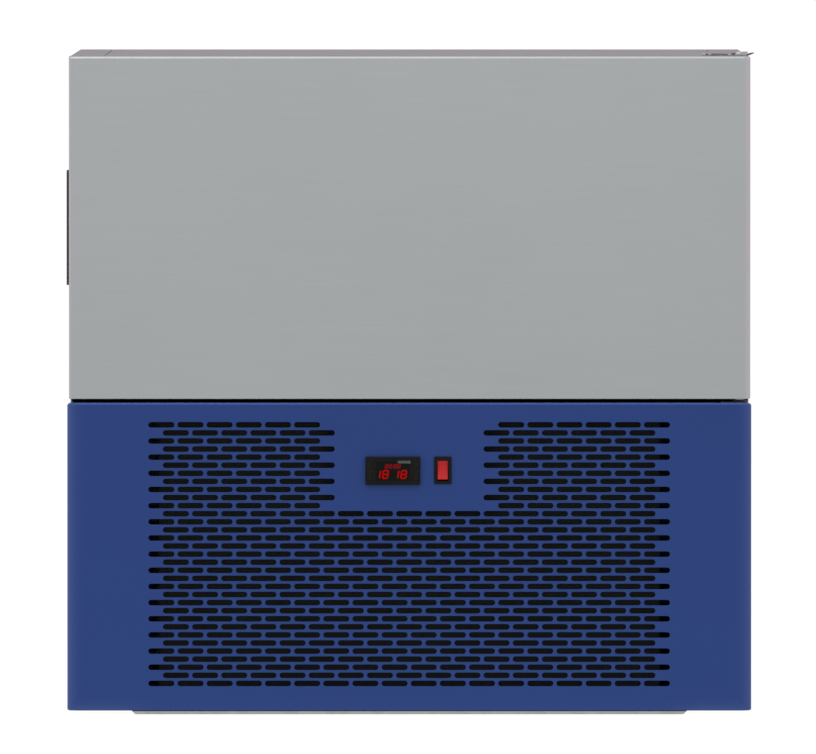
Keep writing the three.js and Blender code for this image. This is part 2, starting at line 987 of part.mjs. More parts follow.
{
  const end = [];
  for (let i = 0; i <= 10; i++) {
    const a = Math.PI + (Math.PI * i) / 10;
    end.push([HINGE_X + 17.9 * Math.cos(a), HINGE_Y + 17.9 * Math.sin(a)]);
  }
  const plate = cut(
    join(
      prism(
        "XY",
        shapeOf([
          [343, -285],
          [343, -322],
          [367.5, -345],
          ...end,
          [403.3, -356],
          [396.5, -340],
          [396.5, -285],
        ]),
        CAB_Z1 + GAP,
        CAB_Z1 + GAP + 2.2,
      ),
      box(390, 396.5, -337, -334.8, CAB_Z1 + GAP, 774.9),
    ),
    rod("z", 2.95, 765, 780, HINGE_X, HINGE_Y, 16),
    HINGE_SCREWS.map(([sx, sy]) => rod("z", 2.7, 765, 780, sx, sy, 10)),
  );
  place(cabinet, "upper_hinge_plate", plate, ZINC, [HINGE_X, HINGE_Y, CAB_Z1]);

  place(
    cabinet,
    "upper_hinge_pin",
    join(
      rod("z", HINGE_PIN_R, 742, CAB_Z1, HINGE_X, HINGE_Y, 16),
      turned(
        [
          [0, CAB_Z1 - 2],
          [2.6, CAB_Z1 - 2],
          [2.6, 774],
          [2, 774.5],
          [0, 774.6],
        ],
        "z",
        HINGE_X,
        HINGE_Y,
        0,
        16,
      ),
    ),
    ZINC,
    [HINGE_X, HINGE_Y, 770],
  );
  HINGE_SCREWS.forEach(([sx, sy], i) =>
    place(
      cabinet,
      `upper_hinge_screw_${i + 1}`,
      join(
        rod("z", 2.3, 757, 773, sx, sy, 10),
        turned(
          [
            [0, 772.8],
            [3.4, 772.8],
            [3.2, 773.5],
            [1.9, 774.1],
            [0, 774.2],
          ],
          "z",
          sx,
          sy,
          0,
          14,
        ),
      ),
      ZINC,
      [sx, sy, 772.8],
    ),
  );

  const lowEnd = end.map(([x, y]) => [
    HINGE_X + (x - HINGE_X) * 0.65,
    HINGE_Y + (y - HINGE_Y) * 0.65,
  ]);
  const low = cut(
    join(
      prism(
        "XY",
        shapeOf([
          [366, CAB_FRONT_Y - GAP],
          [366, -345],
          [371.5, -358],
          ...lowEnd,
          [397, CAB_FRONT_Y - GAP],
        ]),
        365.2,
        367.7,
      ),
      box(386.5, 395.2, CAB_FRONT_Y - GAP - 3, CAB_FRONT_Y - GAP, 365.2, 412),
    ),
    rod("z", HINGE_PIN_R + 0.35, 360, 380, HINGE_X, HINGE_Y, 16),
  );
  place(cabinet, "lower_hinge_plate", low, ZINC, [HINGE_X, HINGE_Y, 365.2]);
  place(
    cabinet,
    "lower_hinge_pin",
    join(
      rod("z", HINGE_PIN_R, 365.2, 395, HINGE_X, HINGE_Y, 16),
      rod("z", 7.5, 368.0, 368.7, HINGE_X, HINGE_Y, 16),
    ),
    ZINC,
    [HINGE_X, HINGE_Y, 368],
  );
}

// ================================================================ fascia
const fasX = FASCIA_W / 2;
{
  const shell = join(
    prism(
      "XY",
      shapeOf(wrap(fasX, FRONT_Y, -315, EDGE_R, SHEET)),
      FASCIA_Z0,
      FASCIA_Z1,
    ),
    box(-fasX + 0.6, fasX - 0.6, -393, -333, FASCIA_Z1 - SHEET, FASCIA_Z1),
    box(-fasX + 8, fasX - 8, FRONT_Y + 0.6, -392, FASCIA_Z1 - SHEET, FASCIA_Z1),
    box(-fasX + 8, -330, FRONT_Y + 0.6, -382, FASCIA_Z0, FASCIA_Z0 + SHEET),
    box(330, fasX - 8, FRONT_Y + 0.6, -382, FASCIA_Z0, FASCIA_Z0 + SHEET),
  );
  const slots = [];
  for (let row = 0; row < ROWS; row++) {
    const z = TOP_ROW_Z - row * ROW_PITCH;
    const count = row % 2 ? 17 : 18;
    const gap = row <= 10; // the controls sit in this part of the field
    const skip = (k) => gap && k >= 6 && k < count - 6;
    let run = null;
    const push = (a, b) =>
      slots.push(
        shapeOf([
          [a, z - SLOT_H / 2],
          [b, z - SLOT_H / 2],
          [b, z + SLOT_H / 2],
          [a, z + SLOT_H / 2],
        ]),
      );
    for (let k = 0; k < count; k++) {
      const cx = (k - (count - 1) / 2) * SLOT_PITCH;
      const [a, b] = [cx - SLOT_L / 2, cx + SLOT_L / 2];
      if (skip(k)) continue;
      if (BRIDGE_EVERY_SLOT) push(a, b);
      else {
        if (!run) run = [a, b];
        run[1] = b;
        if (k === count - 1 || skip(k + 1)) {
          push(...run);
          run = null;
        }
      }
    }
  }
  const cone = (side) =>
    side > 0
      ? turned(
          [
            [0, 397],
            [2.9, 397],
            [2.9, 398.9],
            [6.8, 401],
            [0, 401],
          ],
          "x",
          0,
          FASCIA_SCREW.y,
          FASCIA_SCREW.z,
          16,
        )
      : turned(
          [
            [0, -397],
            [2.9, -397],
            [2.9, -398.9],
            [6.8, -401],
            [0, -401],
          ],
          "x",
          0,
          FASCIA_SCREW.y,
          FASCIA_SCREW.z,
          16,
        );
  place(
    fascia,
    "front_panel",
    cut(
      shell,
      prism("XZ", slots, FRONT_Y - 5, FRONT_Y + 3),
      box(-48.3, 9.7, -405, -395, 270.7, 298.9),
      box(31.0, 47.2, -405, -395, 269.9, 299.5),
      cone(1),
      cone(-1),
    ),
    BLUE,
    [0, FRONT_Y, FASCIA_Z0],
  );
  for (const side of [-1, 1]) {
    const s = side;
    place(
      fascia,
      side < 0 ? "fascia_screw_left" : "fascia_screw_right",
      turned(
        [
          [0, s * 388],
          [2.2, s * 388],
          [2.2, s * 398.9],
          [4.4, s * 399.95],
          [0, s * 399.95],
        ],
        "x",
        0,
        FASCIA_SCREW.y,
        FASCIA_SCREW.z,
        14,
      ),
      ZINC,
      [s * 399.95, FASCIA_SCREW.y, FASCIA_SCREW.z],
    );
  }
}

// Removable air filter behind the slots, notched round the controls.
{
  const outline = (i) => [
    [-293 + i, 28 + i],
    [293 - i, 28 + i],
    [293 - i, 346 - i],
    [84 + i, 346 - i],
    [84 + i, 246 - i],
    [-84 - i, 246 - i],
    [-84 - i, 346 - i],
    [-293 + i, 346 - i],
  ];
  place(
    fascia,
    "air_filter_frame",
    prism("XZ", shapeOf(outline(0), [outline(9).reverse()]), -393, -383),
    MACHINE_BLACK,
    [0, -388, 28],
  );
  place(
    fascia,
    "air_filter_media",
    prism("XZ", shapeOf(outline(9.3)), -391, -385),
    MACHINE_BLACK,
    [0, -388, 28],
  );
}

// Controller: clip-in housing with a bezel, a tinted window and four keys.
const KEYS = [
  [-46.4, 291.6],
  [-46.4, 277.9],
  [7.9, 291.6],
  [7.9, 277.9],
];
{
  const housing = join(
    box(CTRL.x0, CTRL.x1, -405, -400.3, CTRL.z0, CTRL.z1),
    box(-48, 9.4, -400.5, -345, 271, 298.6),
  );
  place(
    fascia,
    "controller_housing",
    cut(
      housing,
      box(-41.4, 3.0, -406, -403.6, 271.3, 298.4),
      KEYS.map(([kx, kz]) => box(kx - 3.3, kx + 3.3, -406, -402.1, kz - 4.3, kz + 4.3)),
    ),
    BLACK,
    [-19.3, -400.3, 284.8],
  );
  place(
    fascia,
    "controller_window",
    box(-41.1, 2.7, -404.8, -403.9, 271.6, 298.1),
    WINDOW,
    [-19.2, -404.8, 284.8],
  );
  KEYS.forEach(([kx, kz], i) =>
    place(
      fascia,
      `controller_key_${i + 1}`,
      prism("XZ", shapeOf(roundRect(kx - 3, kx + 3, kz - 4, kz + 4, 1, 2)), -405.3, -402.9),
      BLACK,
      [kx, -405.3, kz],
    ),
  );
}

// Lit rocker switch.
{
  place(
    fascia,
    "power_switch_body",
    cut(
      join(
        box(SWITCH.x0, SWITCH.x1, -402, -400.3, SWITCH.z0, SWITCH.z1),
        box(31.3, 46.9, -400.5, -376, 270.2, 299.2),
      ),
      box(32.4, 45.7, -403, -388, 271.2, 296.8),
    ),
    BLACK,
    [39.05, -400.3, 284.9],
  );
  const cap = new THREE.ExtrudeGeometry(
    shapeOf([
      [-3.2, 0],
      [-5.2, -11.6],
      [-1.5, -11.9],
      [4, -7],
      [4, 7],
      [-1.5, 11.9],
      [-5.2, 11.6],
    ]),
    { depth: 12.5, bevelEnabled: false },
  );
  cap.translate(0, 0, -6.25);
  cap.applyMatrix4(
    new THREE.Matrix4().makeBasis(
      new THREE.Vector3(0, 1, 0),
      new THREE.Vector3(0, 0, 1),
      new THREE.Vector3(1, 0, 0),
    ),
  );
  cap.rotateX((ROCKER_REST_DEG * Math.PI) / 180);
  cap.translate(ROCKER_AXIS.x, ROCKER_AXIS.y, ROCKER_AXIS.z);
  place(fascia, "power_rocker", solid(cap), RED, [
    ROCKER_AXIS.x,
    ROCKER_AXIS.y,
    ROCKER_AXIS.z,
  ]);
}

// ================================================================ machine compartment
const FLOOR = 1.8; // just above the pressed part of the base pan
place(
  machine,
  "condenser_coil",
  coil(-250, 120, -325, -265, 12, 332, 7, 14),
  FINS,
  [-65, -295, 12],
);
{
  const s = 1.5;
  const shroud = cut(
    box(-252, 122, -264.6, -225, 12, 332),
    box(-252 + s, 122 - s, -266, -225 - s, 12 + s, 332 - s),
    rod("y", 122, -230, -220, COND_FAN.x, COND_FAN.z, 28),
  );
  place(machine, "condenser_shroud", shroud, MACHINE_BLACK, [-65, -225, 12]);
}
place(
  machine,
  "condenser_fan_rotor",
  fanWheel(COND_FAN.x, COND_FAN.z, -221, -197, 30, 114, 5, 24, 58),
  MACHINE_BLACK,
  [COND_FAN.x, -209, COND_FAN.z],
);
place(
  machine,
  "condenser_fan_motor",
  join(
    turned(
      [
        [0, -190],
        [30, -190],
        [40, -184],
        [40, -142],
        [34, -134],
        [0, -134],
      ],
      "y",
      COND_FAN.x,
      0,
      COND_FAN.z,
      20,
    ),
    rod("y", 4, -209, -188, COND_FAN.x, COND_FAN.z, 12),
    prism(
      "YZ",
      shapeOf(
        [
          [-224.7, 28],
          [-221.7, 28],
          [-221.7, 42],
          [-132, 42],
          [-132, 312],
          [-221.7, 312],
          [-221.7, 326],
          [-224.7, 326],
          [-224.7, 309],
          [-135, 309],
          [-135, 45],
          [-224.7, 45],
        ],
      ),
      COND_FAN.x - 15,
      COND_FAN.x + 15,
    ),
  ),
  MACHINE_BLACK,
  [COND_FAN.x, -190, COND_FAN.z],
);

const COMP = { x: 190, y: 100 };
place(
  machine,
  "compressor",
  join(
    turned(
      [
        [0, 12],
        [74, 12],
        [86, 24],
        [90, 60],
        [90, 108],
        [95, 112],
        [95, 119],
        [89, 123],
        [88, 170],
        [78, 205],
        [48, 224],
        [0, 228],
      ],
      "z",
      COMP.x,
      COMP.y,
      0,
      24,
    ),
    box(95, 285, 15, 185, FLOOR, FLOOR + 4),
    box(105, 275, 60, 140, FLOOR + 3, 20),
    box(158, 222, -8, 30, 92, 150),
  ),
  MACHINE_BLACK,
  [COMP.x, COMP.y, FLOOR],
);

const LINE = 4.8;
place(
  machine,
  "discharge_pipe",
  pipe(
    [
      [128.5, 37, 190],
      [117, 22, 212],
      [117, -14, 280],
      [148, -120, 302],
      [156, -240, 298],
      [148, -290, 288],
      [123.5, -298, 286],
    ],
    LINE,
    16,
    6,
  ),
  COPPER,
  [COMP.x, COMP.y, 190],
);
place(
  machine,
  "suction_pipe",
  pipe(
    [
      [217.5, 250, 484],
      [244, 250, 484],
      [261, 254, 468],
      [264, 256, 420],
      [264, 256, 330],
      [264, 250, 220],
      [258, 225, 170],
      [240.5, 183, 150],
    ],
    6,
    18,
    6,
  ),
  COPPER,
  [264, 256, 366],
);
const DRIER = { x: 326, z: 70 };
place(
  machine,
  "filter_drier",
  turned(
    [
      [0, -110],
      [5, -110],
      [16, -96],
      [16, -14],
      [5, 0],
      [0, 0],
    ],
    "y",
    DRIER.x,
    0,
    DRIER.z,
    14,
  ),
  COPPER,
  [DRIER.x, -55, DRIER.z],
);
place(
  machine,
  "liquid_pipe",
  pipe(
    [
      [123.5, -295, 57.5],
      [180, -292, 57.5],
      [290, -270, 60],
      [322, -220, 64],
      [326, -170, 70],
      [326, -112, 70],
    ],
    LINE,
    12,
    6,
  ),
  COPPER,
  [123.5, -295, 57.5],
);
place(
  machine,
  "capillary_tube",
  pipe(
    [
      [326, 2, 70],
      [326, 60, 74],
      [324, 160, 110],
      [300, 240, 200],
      [281, 268, 290],
      [280, 271, 380],
      [280, 271, 440],
      [268, 272, 520],
      [240, 272, 560],
      [219, 272, 566],
    ],
    2.2,
    24,
    5,
  ),
  COPPER,
  [326, 2, 70],
);
place(
  machine,
  "electrical_box",
  join(box(176, 366, -330, -245, 185, 345), box(174, 368, -262, -256, 183, 347)),
  BLACK,
  [270, -290, 185],
);

// Cable gland through the rear panel.
place(
  machine,
  "cable_gland",
  join(
    cut(
      rod("y", 12.5, REAR_Y + GAP, REAR_Y + 7, GLAND.x, GLAND.z, 6),
      rod("y", 4.5, 380, 420, GLAND.x, GLAND.z, 12),
    ),
    cut(
      turned(
        [
          [4.5, 384],
          [8.1, 384],
          [8.1, 396],
          [10.5, 401],
          [10.5, 406],
          [7, 410],
          [4.5, 410],
        ],
        "y",
        GLAND.x,
        0,
        GLAND.z,
        12,
      ),
      rod("y", 4.5, 380, 420, GLAND.x, GLAND.z, 12),
    ),
  ),
  BLACK,
  [GLAND.x, REAR_Y, GLAND.z],
);

export default chiller;
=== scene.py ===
import json
import math
from math import cos, pi, radians, sin

import bmesh
import bpy
from mathutils import Matrix, Vector

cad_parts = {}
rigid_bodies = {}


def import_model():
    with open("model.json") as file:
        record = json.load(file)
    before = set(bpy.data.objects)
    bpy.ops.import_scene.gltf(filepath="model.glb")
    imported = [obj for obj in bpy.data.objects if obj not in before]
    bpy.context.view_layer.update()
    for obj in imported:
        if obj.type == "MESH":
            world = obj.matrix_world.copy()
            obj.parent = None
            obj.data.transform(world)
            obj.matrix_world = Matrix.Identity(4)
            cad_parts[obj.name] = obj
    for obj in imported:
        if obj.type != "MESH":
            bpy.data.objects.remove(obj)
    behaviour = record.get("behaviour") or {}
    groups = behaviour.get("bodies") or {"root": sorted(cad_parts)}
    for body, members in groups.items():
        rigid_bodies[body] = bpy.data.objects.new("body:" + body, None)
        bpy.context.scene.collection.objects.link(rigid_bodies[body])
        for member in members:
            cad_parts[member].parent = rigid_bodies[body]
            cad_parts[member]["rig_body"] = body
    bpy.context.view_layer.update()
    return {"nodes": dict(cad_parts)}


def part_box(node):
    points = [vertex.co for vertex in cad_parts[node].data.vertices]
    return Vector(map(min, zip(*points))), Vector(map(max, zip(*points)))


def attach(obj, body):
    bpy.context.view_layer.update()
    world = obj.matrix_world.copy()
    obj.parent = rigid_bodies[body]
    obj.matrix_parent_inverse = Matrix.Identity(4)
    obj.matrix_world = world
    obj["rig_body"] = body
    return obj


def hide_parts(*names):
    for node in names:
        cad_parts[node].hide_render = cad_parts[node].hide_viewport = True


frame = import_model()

MM = 0.001
NODES = frame["nodes"]

# ------------------------------------------------------------------ camera
# A distant camera with a long lens, a little above the top: the photograph's flat front view.
SCENE = bpy.context.scene
DIST = 25.0
LOOK = Vector((-0.0015, -0.400, 0.3949))
cam_data = bpy.data.cameras.new("camera")
cam_data.sensor_width = 36.0
cam_data.lens = 36.0 * DIST / 0.95344
cam_data.clip_start = 0.5
cam_data.clip_end = 400.0
camera = bpy.data.objects.new("camera", cam_data)
SCENE.collection.objects.link(camera)
camera.location = (LOOK.x, LOOK.y - DIST, 1.024)
camera.rotation_euler = (LOOK - camera.location).to_track_quat("-Z", "Y").to_euler()
SCENE.camera = camera
SCENE.view_settings.view_transform = "Standard"


# ------------------------------------------------------------------ materials
def lin(rgb):
    """A colour read in 8-bit sRGB, as linear RGBA."""
    out = []
    for c in rgb:
        c = c / 255.0
        out.append(c / 12.92 if c <= 0.04045 else ((c + 0.055) / 1.055) ** 2.4)
    return (*out, 1.0)


class Mat:
    """A Principled material whose colour, roughness and bump come from procedural layers."""

    def __init__(self, name, base, rough=0.5, metal=0.0, **sockets):
        self.m = bpy.data.materials.new(name)
        self.m.use_nodes = True
        self.nt = self.m.node_tree
        self.nt.nodes.clear()
        self.out = self.nt.nodes.new("ShaderNodeOutputMaterial")
        self.bsdf = self.nt.nodes.new("ShaderNodeBsdfPrincipled")
        self.link(self.bsdf.outputs["BSDF"], self.out.inputs["Surface"])
        self.base = lin(base) if max(base) > 1.0 else (*base, 1.0)
        self.bsdf.inputs["Base Color"].default_value = self.base
        self.bsdf.inputs["Roughness"].default_value = rough
        self.bsdf.inputs["Metallic"].default_value = metal
        self.rough = rough
        for k, v in sockets.items():
            self.bsdf.inputs[k.replace("_", " ")].default_value = v
        self.m.diffuse_color = self.base
        self.m.roughness = rough
        self.m.metallic = metal
        self._colour = None
        self._rough = None
        self._normal = None

    def link(self, a, b):
        self.nt.links.new(a, b)

    def node(self, kind, **props):
        n = self.nt.nodes.new(kind)
        for k, v in props.items():
            setattr(n, k, v)
        return n

    def coords(self, scale, turn=(0, 0, 0)):
        tc = self.node("ShaderNodeTexCoord")
        mp = self.node("ShaderNodeMapping")
        mp.inputs["Scale"].default_value = scale
        mp.inputs["Rotation"].default_value = turn
        self.link(tc.outputs["Object"], mp.inputs["Vector"])
        return mp.outputs["Vector"]

    def noise(self, scale, detail=3.0, roughness=0.5, distortion=0.0):
        n = self.node("ShaderNodeTexNoise")
        n.inputs["Scale"].default_value = 1.0
        n.inputs["Detail"].default_value = detail
        n.inputs["Roughness"].default_value = roughness
        n.inputs["Distortion"].default_value = distortion
        self.link(self.coords(scale), n.inputs["Vector"])
        return n.outputs["Fac"]

    def cells(self, scale, feature="F1", output="Distance"):
        n = self.node("ShaderNodeTexVoronoi", feature=feature)
        n.inputs["Scale"].default_value = 1.0
        self.link(self.coords(scale), n.inputs["Vector"])
        return n.outputs[output]

    def remap(self, fac, lo, hi, a=0.25, b=0.75):
        n = self.node("ShaderNodeMapRange")
        n.inputs["From Min"].default_value = a
        n.inputs["From Max"].default_value = b
        n.inputs["To Min"].default_value = lo
        n.inputs["To Max"].default_value = hi
        self.link(fac, n.inputs["Value"])
        return n.outputs["Result"]

    def math(self, op, a, b=None):
        n = self.node("ShaderNodeMath", operation=op)
        for i, v in enumerate((a, b)):
            if v is None:
                continue
            if isinstance(v, (int, float)):
                n.inputs[i].default_value = v
            else:
                self.link(v, n.inputs[i])
        return n.outputs[0]

    def tone(self, fac, amount, a=0.3, b=0.7):
        """Multiplies the colour so far by 1 - amount to 1 + amount."""
        gain = self.remap(fac, 1 - amount, 1 + amount, a, b)
        sc = self.node("ShaderNodeVectorMath", operation="SCALE")
        if self._colour is None:
            sc.inputs[0].default_value = self.base[:3]
        else:
            self.link(self._colour, sc.inputs[0])
        self.link(gain, sc.inputs["Scale"])
        self._colour = sc.outputs["Vector"]
        self.link(self._colour, self.bsdf.inputs["Base Color"])
        return self

    def tint(self, fac, colour, a=0.45, b=0.7, most=1.0):
        """Mixes towards a second colour where fac is high."""
        mx = self.node("ShaderNodeMix", data_type="RGBA", blend_type="MIX")
        self.link(self.remap(fac, 0.0, most, a, b), mx.inputs["Factor"])
        if self._colour is None:
            mx.inputs["A"].default_value = self.base
        else:
            self.link(self._colour, mx.inputs[6])
        mx.inputs[7].default_value = lin(colour) if max(colour) > 1.0 else (*colour, 1.0)
        if self._colour is None:
            mx.inputs[6].default_value = self.base
        self._colour = mx.outputs[2]
        self.link(self._colour, self.bsdf.inputs["Base Color"])
        return self

    def gloss(self, fac, amount, a=0.3, b=0.7):
        """Moves the roughness up and down round its value."""
        r = self.remap(fac, -amount, amount, a, b)
        self._rough = self.math("ADD", self._rough if self._rough is not None else self.rough, r)
        self.link(self._rough, self.bsdf.inputs["Roughness"])
        return self

    def bump(self, fac, strength=0.2, distance=0.0002):
        n = self.node("ShaderNodeBump")
        n.inputs["Strength"].default_value = strength
        n.inputs["Distance"].default_value = distance
        self.link(fac, n.inputs["Height"])
        if self._normal is not None:
            self.link(self._normal, n.inputs["Normal"])
        self._normal = n.outputs["Normal"]
        self.link(self._normal, self.bsdf.inputs["Normal"])
        return self

    def height(self):
        """The height above the base in metres."""
        sep = self.node("ShaderNodeSeparateXYZ")
        self.link(self.coords((1, 1, 1)), sep.inputs[0])
        return sep.outputs["Z"]

    def rim(self, side, foot, reach):
        """Rises from 0 to 1 over the last stretch before the sides at +-side and, less in the middle, before the lower edge."""
        sep = self.node("ShaderNodeSeparateXYZ")
        self.link(self.coords((1, 1, 1)), sep.inputs[0])
        x = self.math("ABSOLUTE", sep.outputs["X"])
        flank = self.remap(x, 0.0, 1.0, side - reach, side)
        low = self.remap(sep.outputs["Z"], 1.0, 0.0, foot, foot + reach)
        low = self.math("MULTIPLY", low, self.remap(x, 0.55, 0.95, 0.29, 0.34))
        return self.math("POWER", self.math("MAXIMUM", flank, low), 3.0)

    def flank(self, start, end):
        """Rises from 0 to 1 between two distances from the middle plane."""
        sep = self.node("ShaderNodeSeparateXYZ")
        self.link(self.coords((1, 1, 1)), sep.inputs[0])
        return self.remap(self.math("ABSOLUTE", sep.outputs["X"]), 0.0, 1.0, start, end)

    def flat_share(self):
        """1 on faces that look up or down, 0 on upright ones."""
        g = self.node("ShaderNodeNewGeometry")
        sep = self.node("ShaderNodeSeparateXYZ")
        self.link(g.outputs["Normal"], sep.inputs[0])
        return self.math("ABSOLUTE", sep.outputs["Z"])


def brushed(name, base, rough, metal=1.0, grain="h", amount=0.02, bump=0.05, wide=0.012, lines=0.02, **k):
    """Sheet steel with a fine directional brush: along the sheet on upright faces, along X on flat ones."""
    s = Mat(name, base, rough, metal, **k)
    if grain == "h":
        upright = s.noise((9, 9, 2600), 4.0, 0.6)
        flat = s.noise((9, 2600, 9), 4.0, 0.6)
    else:
        upright = s.noise((1500, 1500, 9), 4.0, 0.6)
        flat = s.noise((1800, 9, 9), 4.0, 0.6)
    share = s.remap(s.flat_share(), 0.0, 1.0, 0.3, 0.7)
    mx = s.node("ShaderNodeMix", data_type="FLOAT")
    s.link(share, mx.inputs["Factor"])
    s.link(upright, mx.inputs[2])
    s.link(flat, mx.inputs[3])
    streak = mx.outputs[0]
    s.tone(streak, amount)
    broad = s.node("ShaderNodeMix", data_type="FLOAT")
    s.link(share, broad.inputs["Factor"])
    s.link(s.noise((13, 13, 560), 3.0, 0.55) if grain == "h" else s.noise((560, 560, 13), 3.0, 0.55), broad.inputs[2])
    s.link(s.noise((13, 560, 13), 3.0, 0.55), broad.inputs[3])
    s.tone(broad.outputs[0], wide)
    # sparse lighter scratches of the brush
    gain = s.remap(broad.outputs[0], 1.0, 1.0 + lines, 0.6, 0.78)
    sc = s.node("ShaderNodeVectorMath", operation="SCALE")
    s.link(s._colour, sc.inputs[0])
    s.link(gain, sc.inputs["Scale"])
    s._colour = sc.outputs["Vector"]
    s.link(s._colour, s.bsdf.inputs["Base Color"])
    s.tone(s.noise((3.1, 2.3, 4.7), 2.0, 0.5), 0.012)
    s.gloss(streak, 0.05)
    s.gloss(s.noise((14, 17, 11), 3.0, 0.6), 0.025)
    s.bump(streak, bump, 0.00006)
    return s


STEEL_DOOR = brushed("brushed_steel_door", (159.5, 162.5, 164), 0.36, 0.9, "h", 0.02, 0.05)
# painted light: the door's steel grows a little lighter towards its top and darker towards its bottom
STEEL_DOOR.tone(STEEL_DOOR.height(), 0.032, 0.36, 0.78)
# painted reflection: over the side folds the door's steel turns pinkish, like the warm side light
STEEL_DOOR.tint(STEEL_DOOR.flank(0.3915, 0.3965), (161, 159, 163), 0.0, 1.0, 1.0)
STEEL_CAB = brushed("brushed_steel_cabinet", (164, 166, 168), 0.33, 0.92, "h", 0.035, 0.08, 0.03, 0.05)
STEEL_IN = brushed("satin_steel_chamber", (196, 199, 200), 0.28, 0.95, "h", 0.03, 0.06, 0.02, 0.03)

ZINC = Mat("galvanised_sheet", (166, 163, 165), 0.42, 0.9)
ZINC.tone(ZINC.cells((90, 90, 90), output="Color"), 0.09, 0.0, 1.0)
ZINC.tone(ZINC.noise((25, 25, 25), 3.0), 0.05)
ZINC.gloss(ZINC.cells((90, 90, 90)), 0.07, 0.0, 1.0)
ZINC.bump(ZINC.noise((600, 600, 600), 2.0), 0.06, 0.0001)

HINGE = Mat("zinc_plated_hinge", (158, 157, 156), 0.34, 1.0)
HINGE.tone(HINGE.noise((320, 320, 320), 3.0), 0.06)
HINGE.gloss(HINGE.noise((180, 180, 180), 3.0), 0.08)
HINGE.bump(HINGE.noise((1900, 1900, 1900), 2.0), 0.12, 0.00005)

# a dark colour for the hinge plate's upright edges, laid only over the listed spans
HINGE_DARK_EDGE = Mat("hinge_dark_edge", (72, 65, 64), 0.5, 0.6)
HINGE_DARK_EDGE.tone(HINGE_DARK_EDGE.noise((700, 700, 120), 3.0), 0.15)
HINGE_DARK_EDGE.gloss(HINGE_DARK_EDGE.noise((300, 300, 300), 2.0), 0.08)

TAB_STEEL = Mat("tab_steel", (150, 146, 149), 0.5, 0.6)
TAB_STEEL.tone(TAB_STEEL.noise((300, 300, 300), 3.0), 0.16)
TAB_STEEL.gloss(TAB_STEEL.noise((200, 200, 200), 2.0), 0.07)

BLACK_SCREW = Mat("black_oxide_screw", (38, 35, 35), 0.38, 0.7)
BLACK_SCREW.tone(BLACK_SCREW.noise((400, 400, 400), 2.0), 0.15)
BLACK_SCREW.gloss(BLACK_SCREW.noise((260, 260, 260), 2.0), 0.07)

# painted shade: the lower hinge plate is coloured near-black because it sits in the shadow of the gap under the door
LOWER_HINGE_SHADE = Mat("lower_hinge_painted_shade", (52, 52, 54), 0.42, 0.8)
LOWER_HINGE_SHADE.tone(LOWER_HINGE_SHADE.noise((260, 260, 260), 3.0), 0.10)
LOWER_HINGE_SHADE.gloss(LOWER_HINGE_SHADE.noise((180, 180, 180), 3.0), 0.08)
LOWER_HINGE_SHADE.bump(LOWER_HINGE_SHADE.noise((1900, 1900, 1900), 2.0), 0.10, 0.00005)

SCREW = Mat("bright_screw", (205, 205, 203), 0.22, 1.0)
SCREW.tone(SCREW.noise((500, 500, 500), 2.0), 0.05)
SCREW.gloss(SCREW.noise((260, 260, 260), 2.0), 0.06)

BLUE = Mat("blue_powder_coat", (32, 55.5, 110.5), 0.34, 0.0, Specular_IOR_Level=0.14, Sheen_Weight=0.14, Sheen_Roughness=0.35)
BLUE.tone(BLUE.noise((7, 7, 9), 3.0, 0.5), 0.012)
BLUE.tone(BLUE.noise((900, 900, 900), 2.0), 0.02)
# painted light: the blue coat is a little lighter towards the bottom and darker towards the top
BLUE.tone(BLUE.height(), -0.03, 0.0, 0.37)
# painted light: a lighter blue glow over the last stretch before the sides and, less, before the lower edge
BLUE.tint(BLUE.rim(0.4, 0.0046, 0.026), (56, 74, 122), 0.0, 1.0, 0.88)
BLUE.gloss(BLUE.noise((60, 60, 60), 2.0), 0.04)
BLUE.bump(BLUE.noise((420, 420, 420), 2.0, 0.5), 0.10, 0.00012)

# painted highlight: a lighter blue for the faces along the fascia's top fold
BLUE_FOLD_HIGHLIGHT = Mat("blue_coat_painted_fold_highlight", (43, 73, 138), 0.32, 0.0, Specular_IOR_Level=0.3, Sheen_Weight=0.15, Sheen_Roughness=0.35)
BLUE_FOLD_HIGHLIGHT.tone(BLUE_FOLD_HIGHLIGHT.noise((900, 900, 900), 2.0), 0.02)
BLUE_FOLD_HIGHLIGHT.gloss(BLUE_FOLD_HIGHLIGHT.noise((60, 60, 60), 2.0), 0.04)
BLUE_FOLD_HIGHLIGHT.bump(BLUE_FOLD_HIGHLIGHT.noise((420, 420, 420), 2.0, 0.5), 0.10, 0.00012)

BLACK = Mat("black_moulded_plastic", (17, 18, 16), 0.46, 0.0, Specular_IOR_Level=0.08)
BLACK.tone(BLACK.noise((40, 40, 40), 3.0), 0.10)
BLACK.gloss(BLACK.noise((110, 110, 110), 3.0), 0.06)
BLACK.bump(BLACK.noise((2600, 2600, 2600), 2.0, 0.6), 0.22, 0.00008)

KEYCAP = Mat("key_plastic", (18, 19, 17), 0.4, 0.0, Specular_IOR_Level=0.09)
KEYCAP.tone(KEYCAP.noise((300, 300, 300), 2.0), 0.08)
KEYCAP.gloss(KEYCAP.noise((500, 500, 500), 2.0), 0.05)
KEYCAP.bump(KEYCAP.noise((3200, 3200, 3200), 2.0), 0.15, 0.00006)

GRIP = Mat("grip_plastic", (56, 53, 52), 0.5, 0.0, Specular_IOR_Level=0.2)
GRIP.tone(GRIP.noise((60, 60, 60), 3.0), 0.07)
GRIP.gloss(GRIP.noise((140, 140, 140), 3.0), 0.07)
GRIP.bump(GRIP.noise((2300, 2300, 2300), 2.0, 0.6), 0.25, 0.0001)

TINT = Mat("display_window", (8, 9, 9), 0.06, 0.0, Specular_IOR_Level=0.07)
TINT.tone(TINT.noise((160, 160, 160), 2.0), 0.15)
TINT.gloss(TINT.noise((220, 220, 220), 3.0), 0.02)

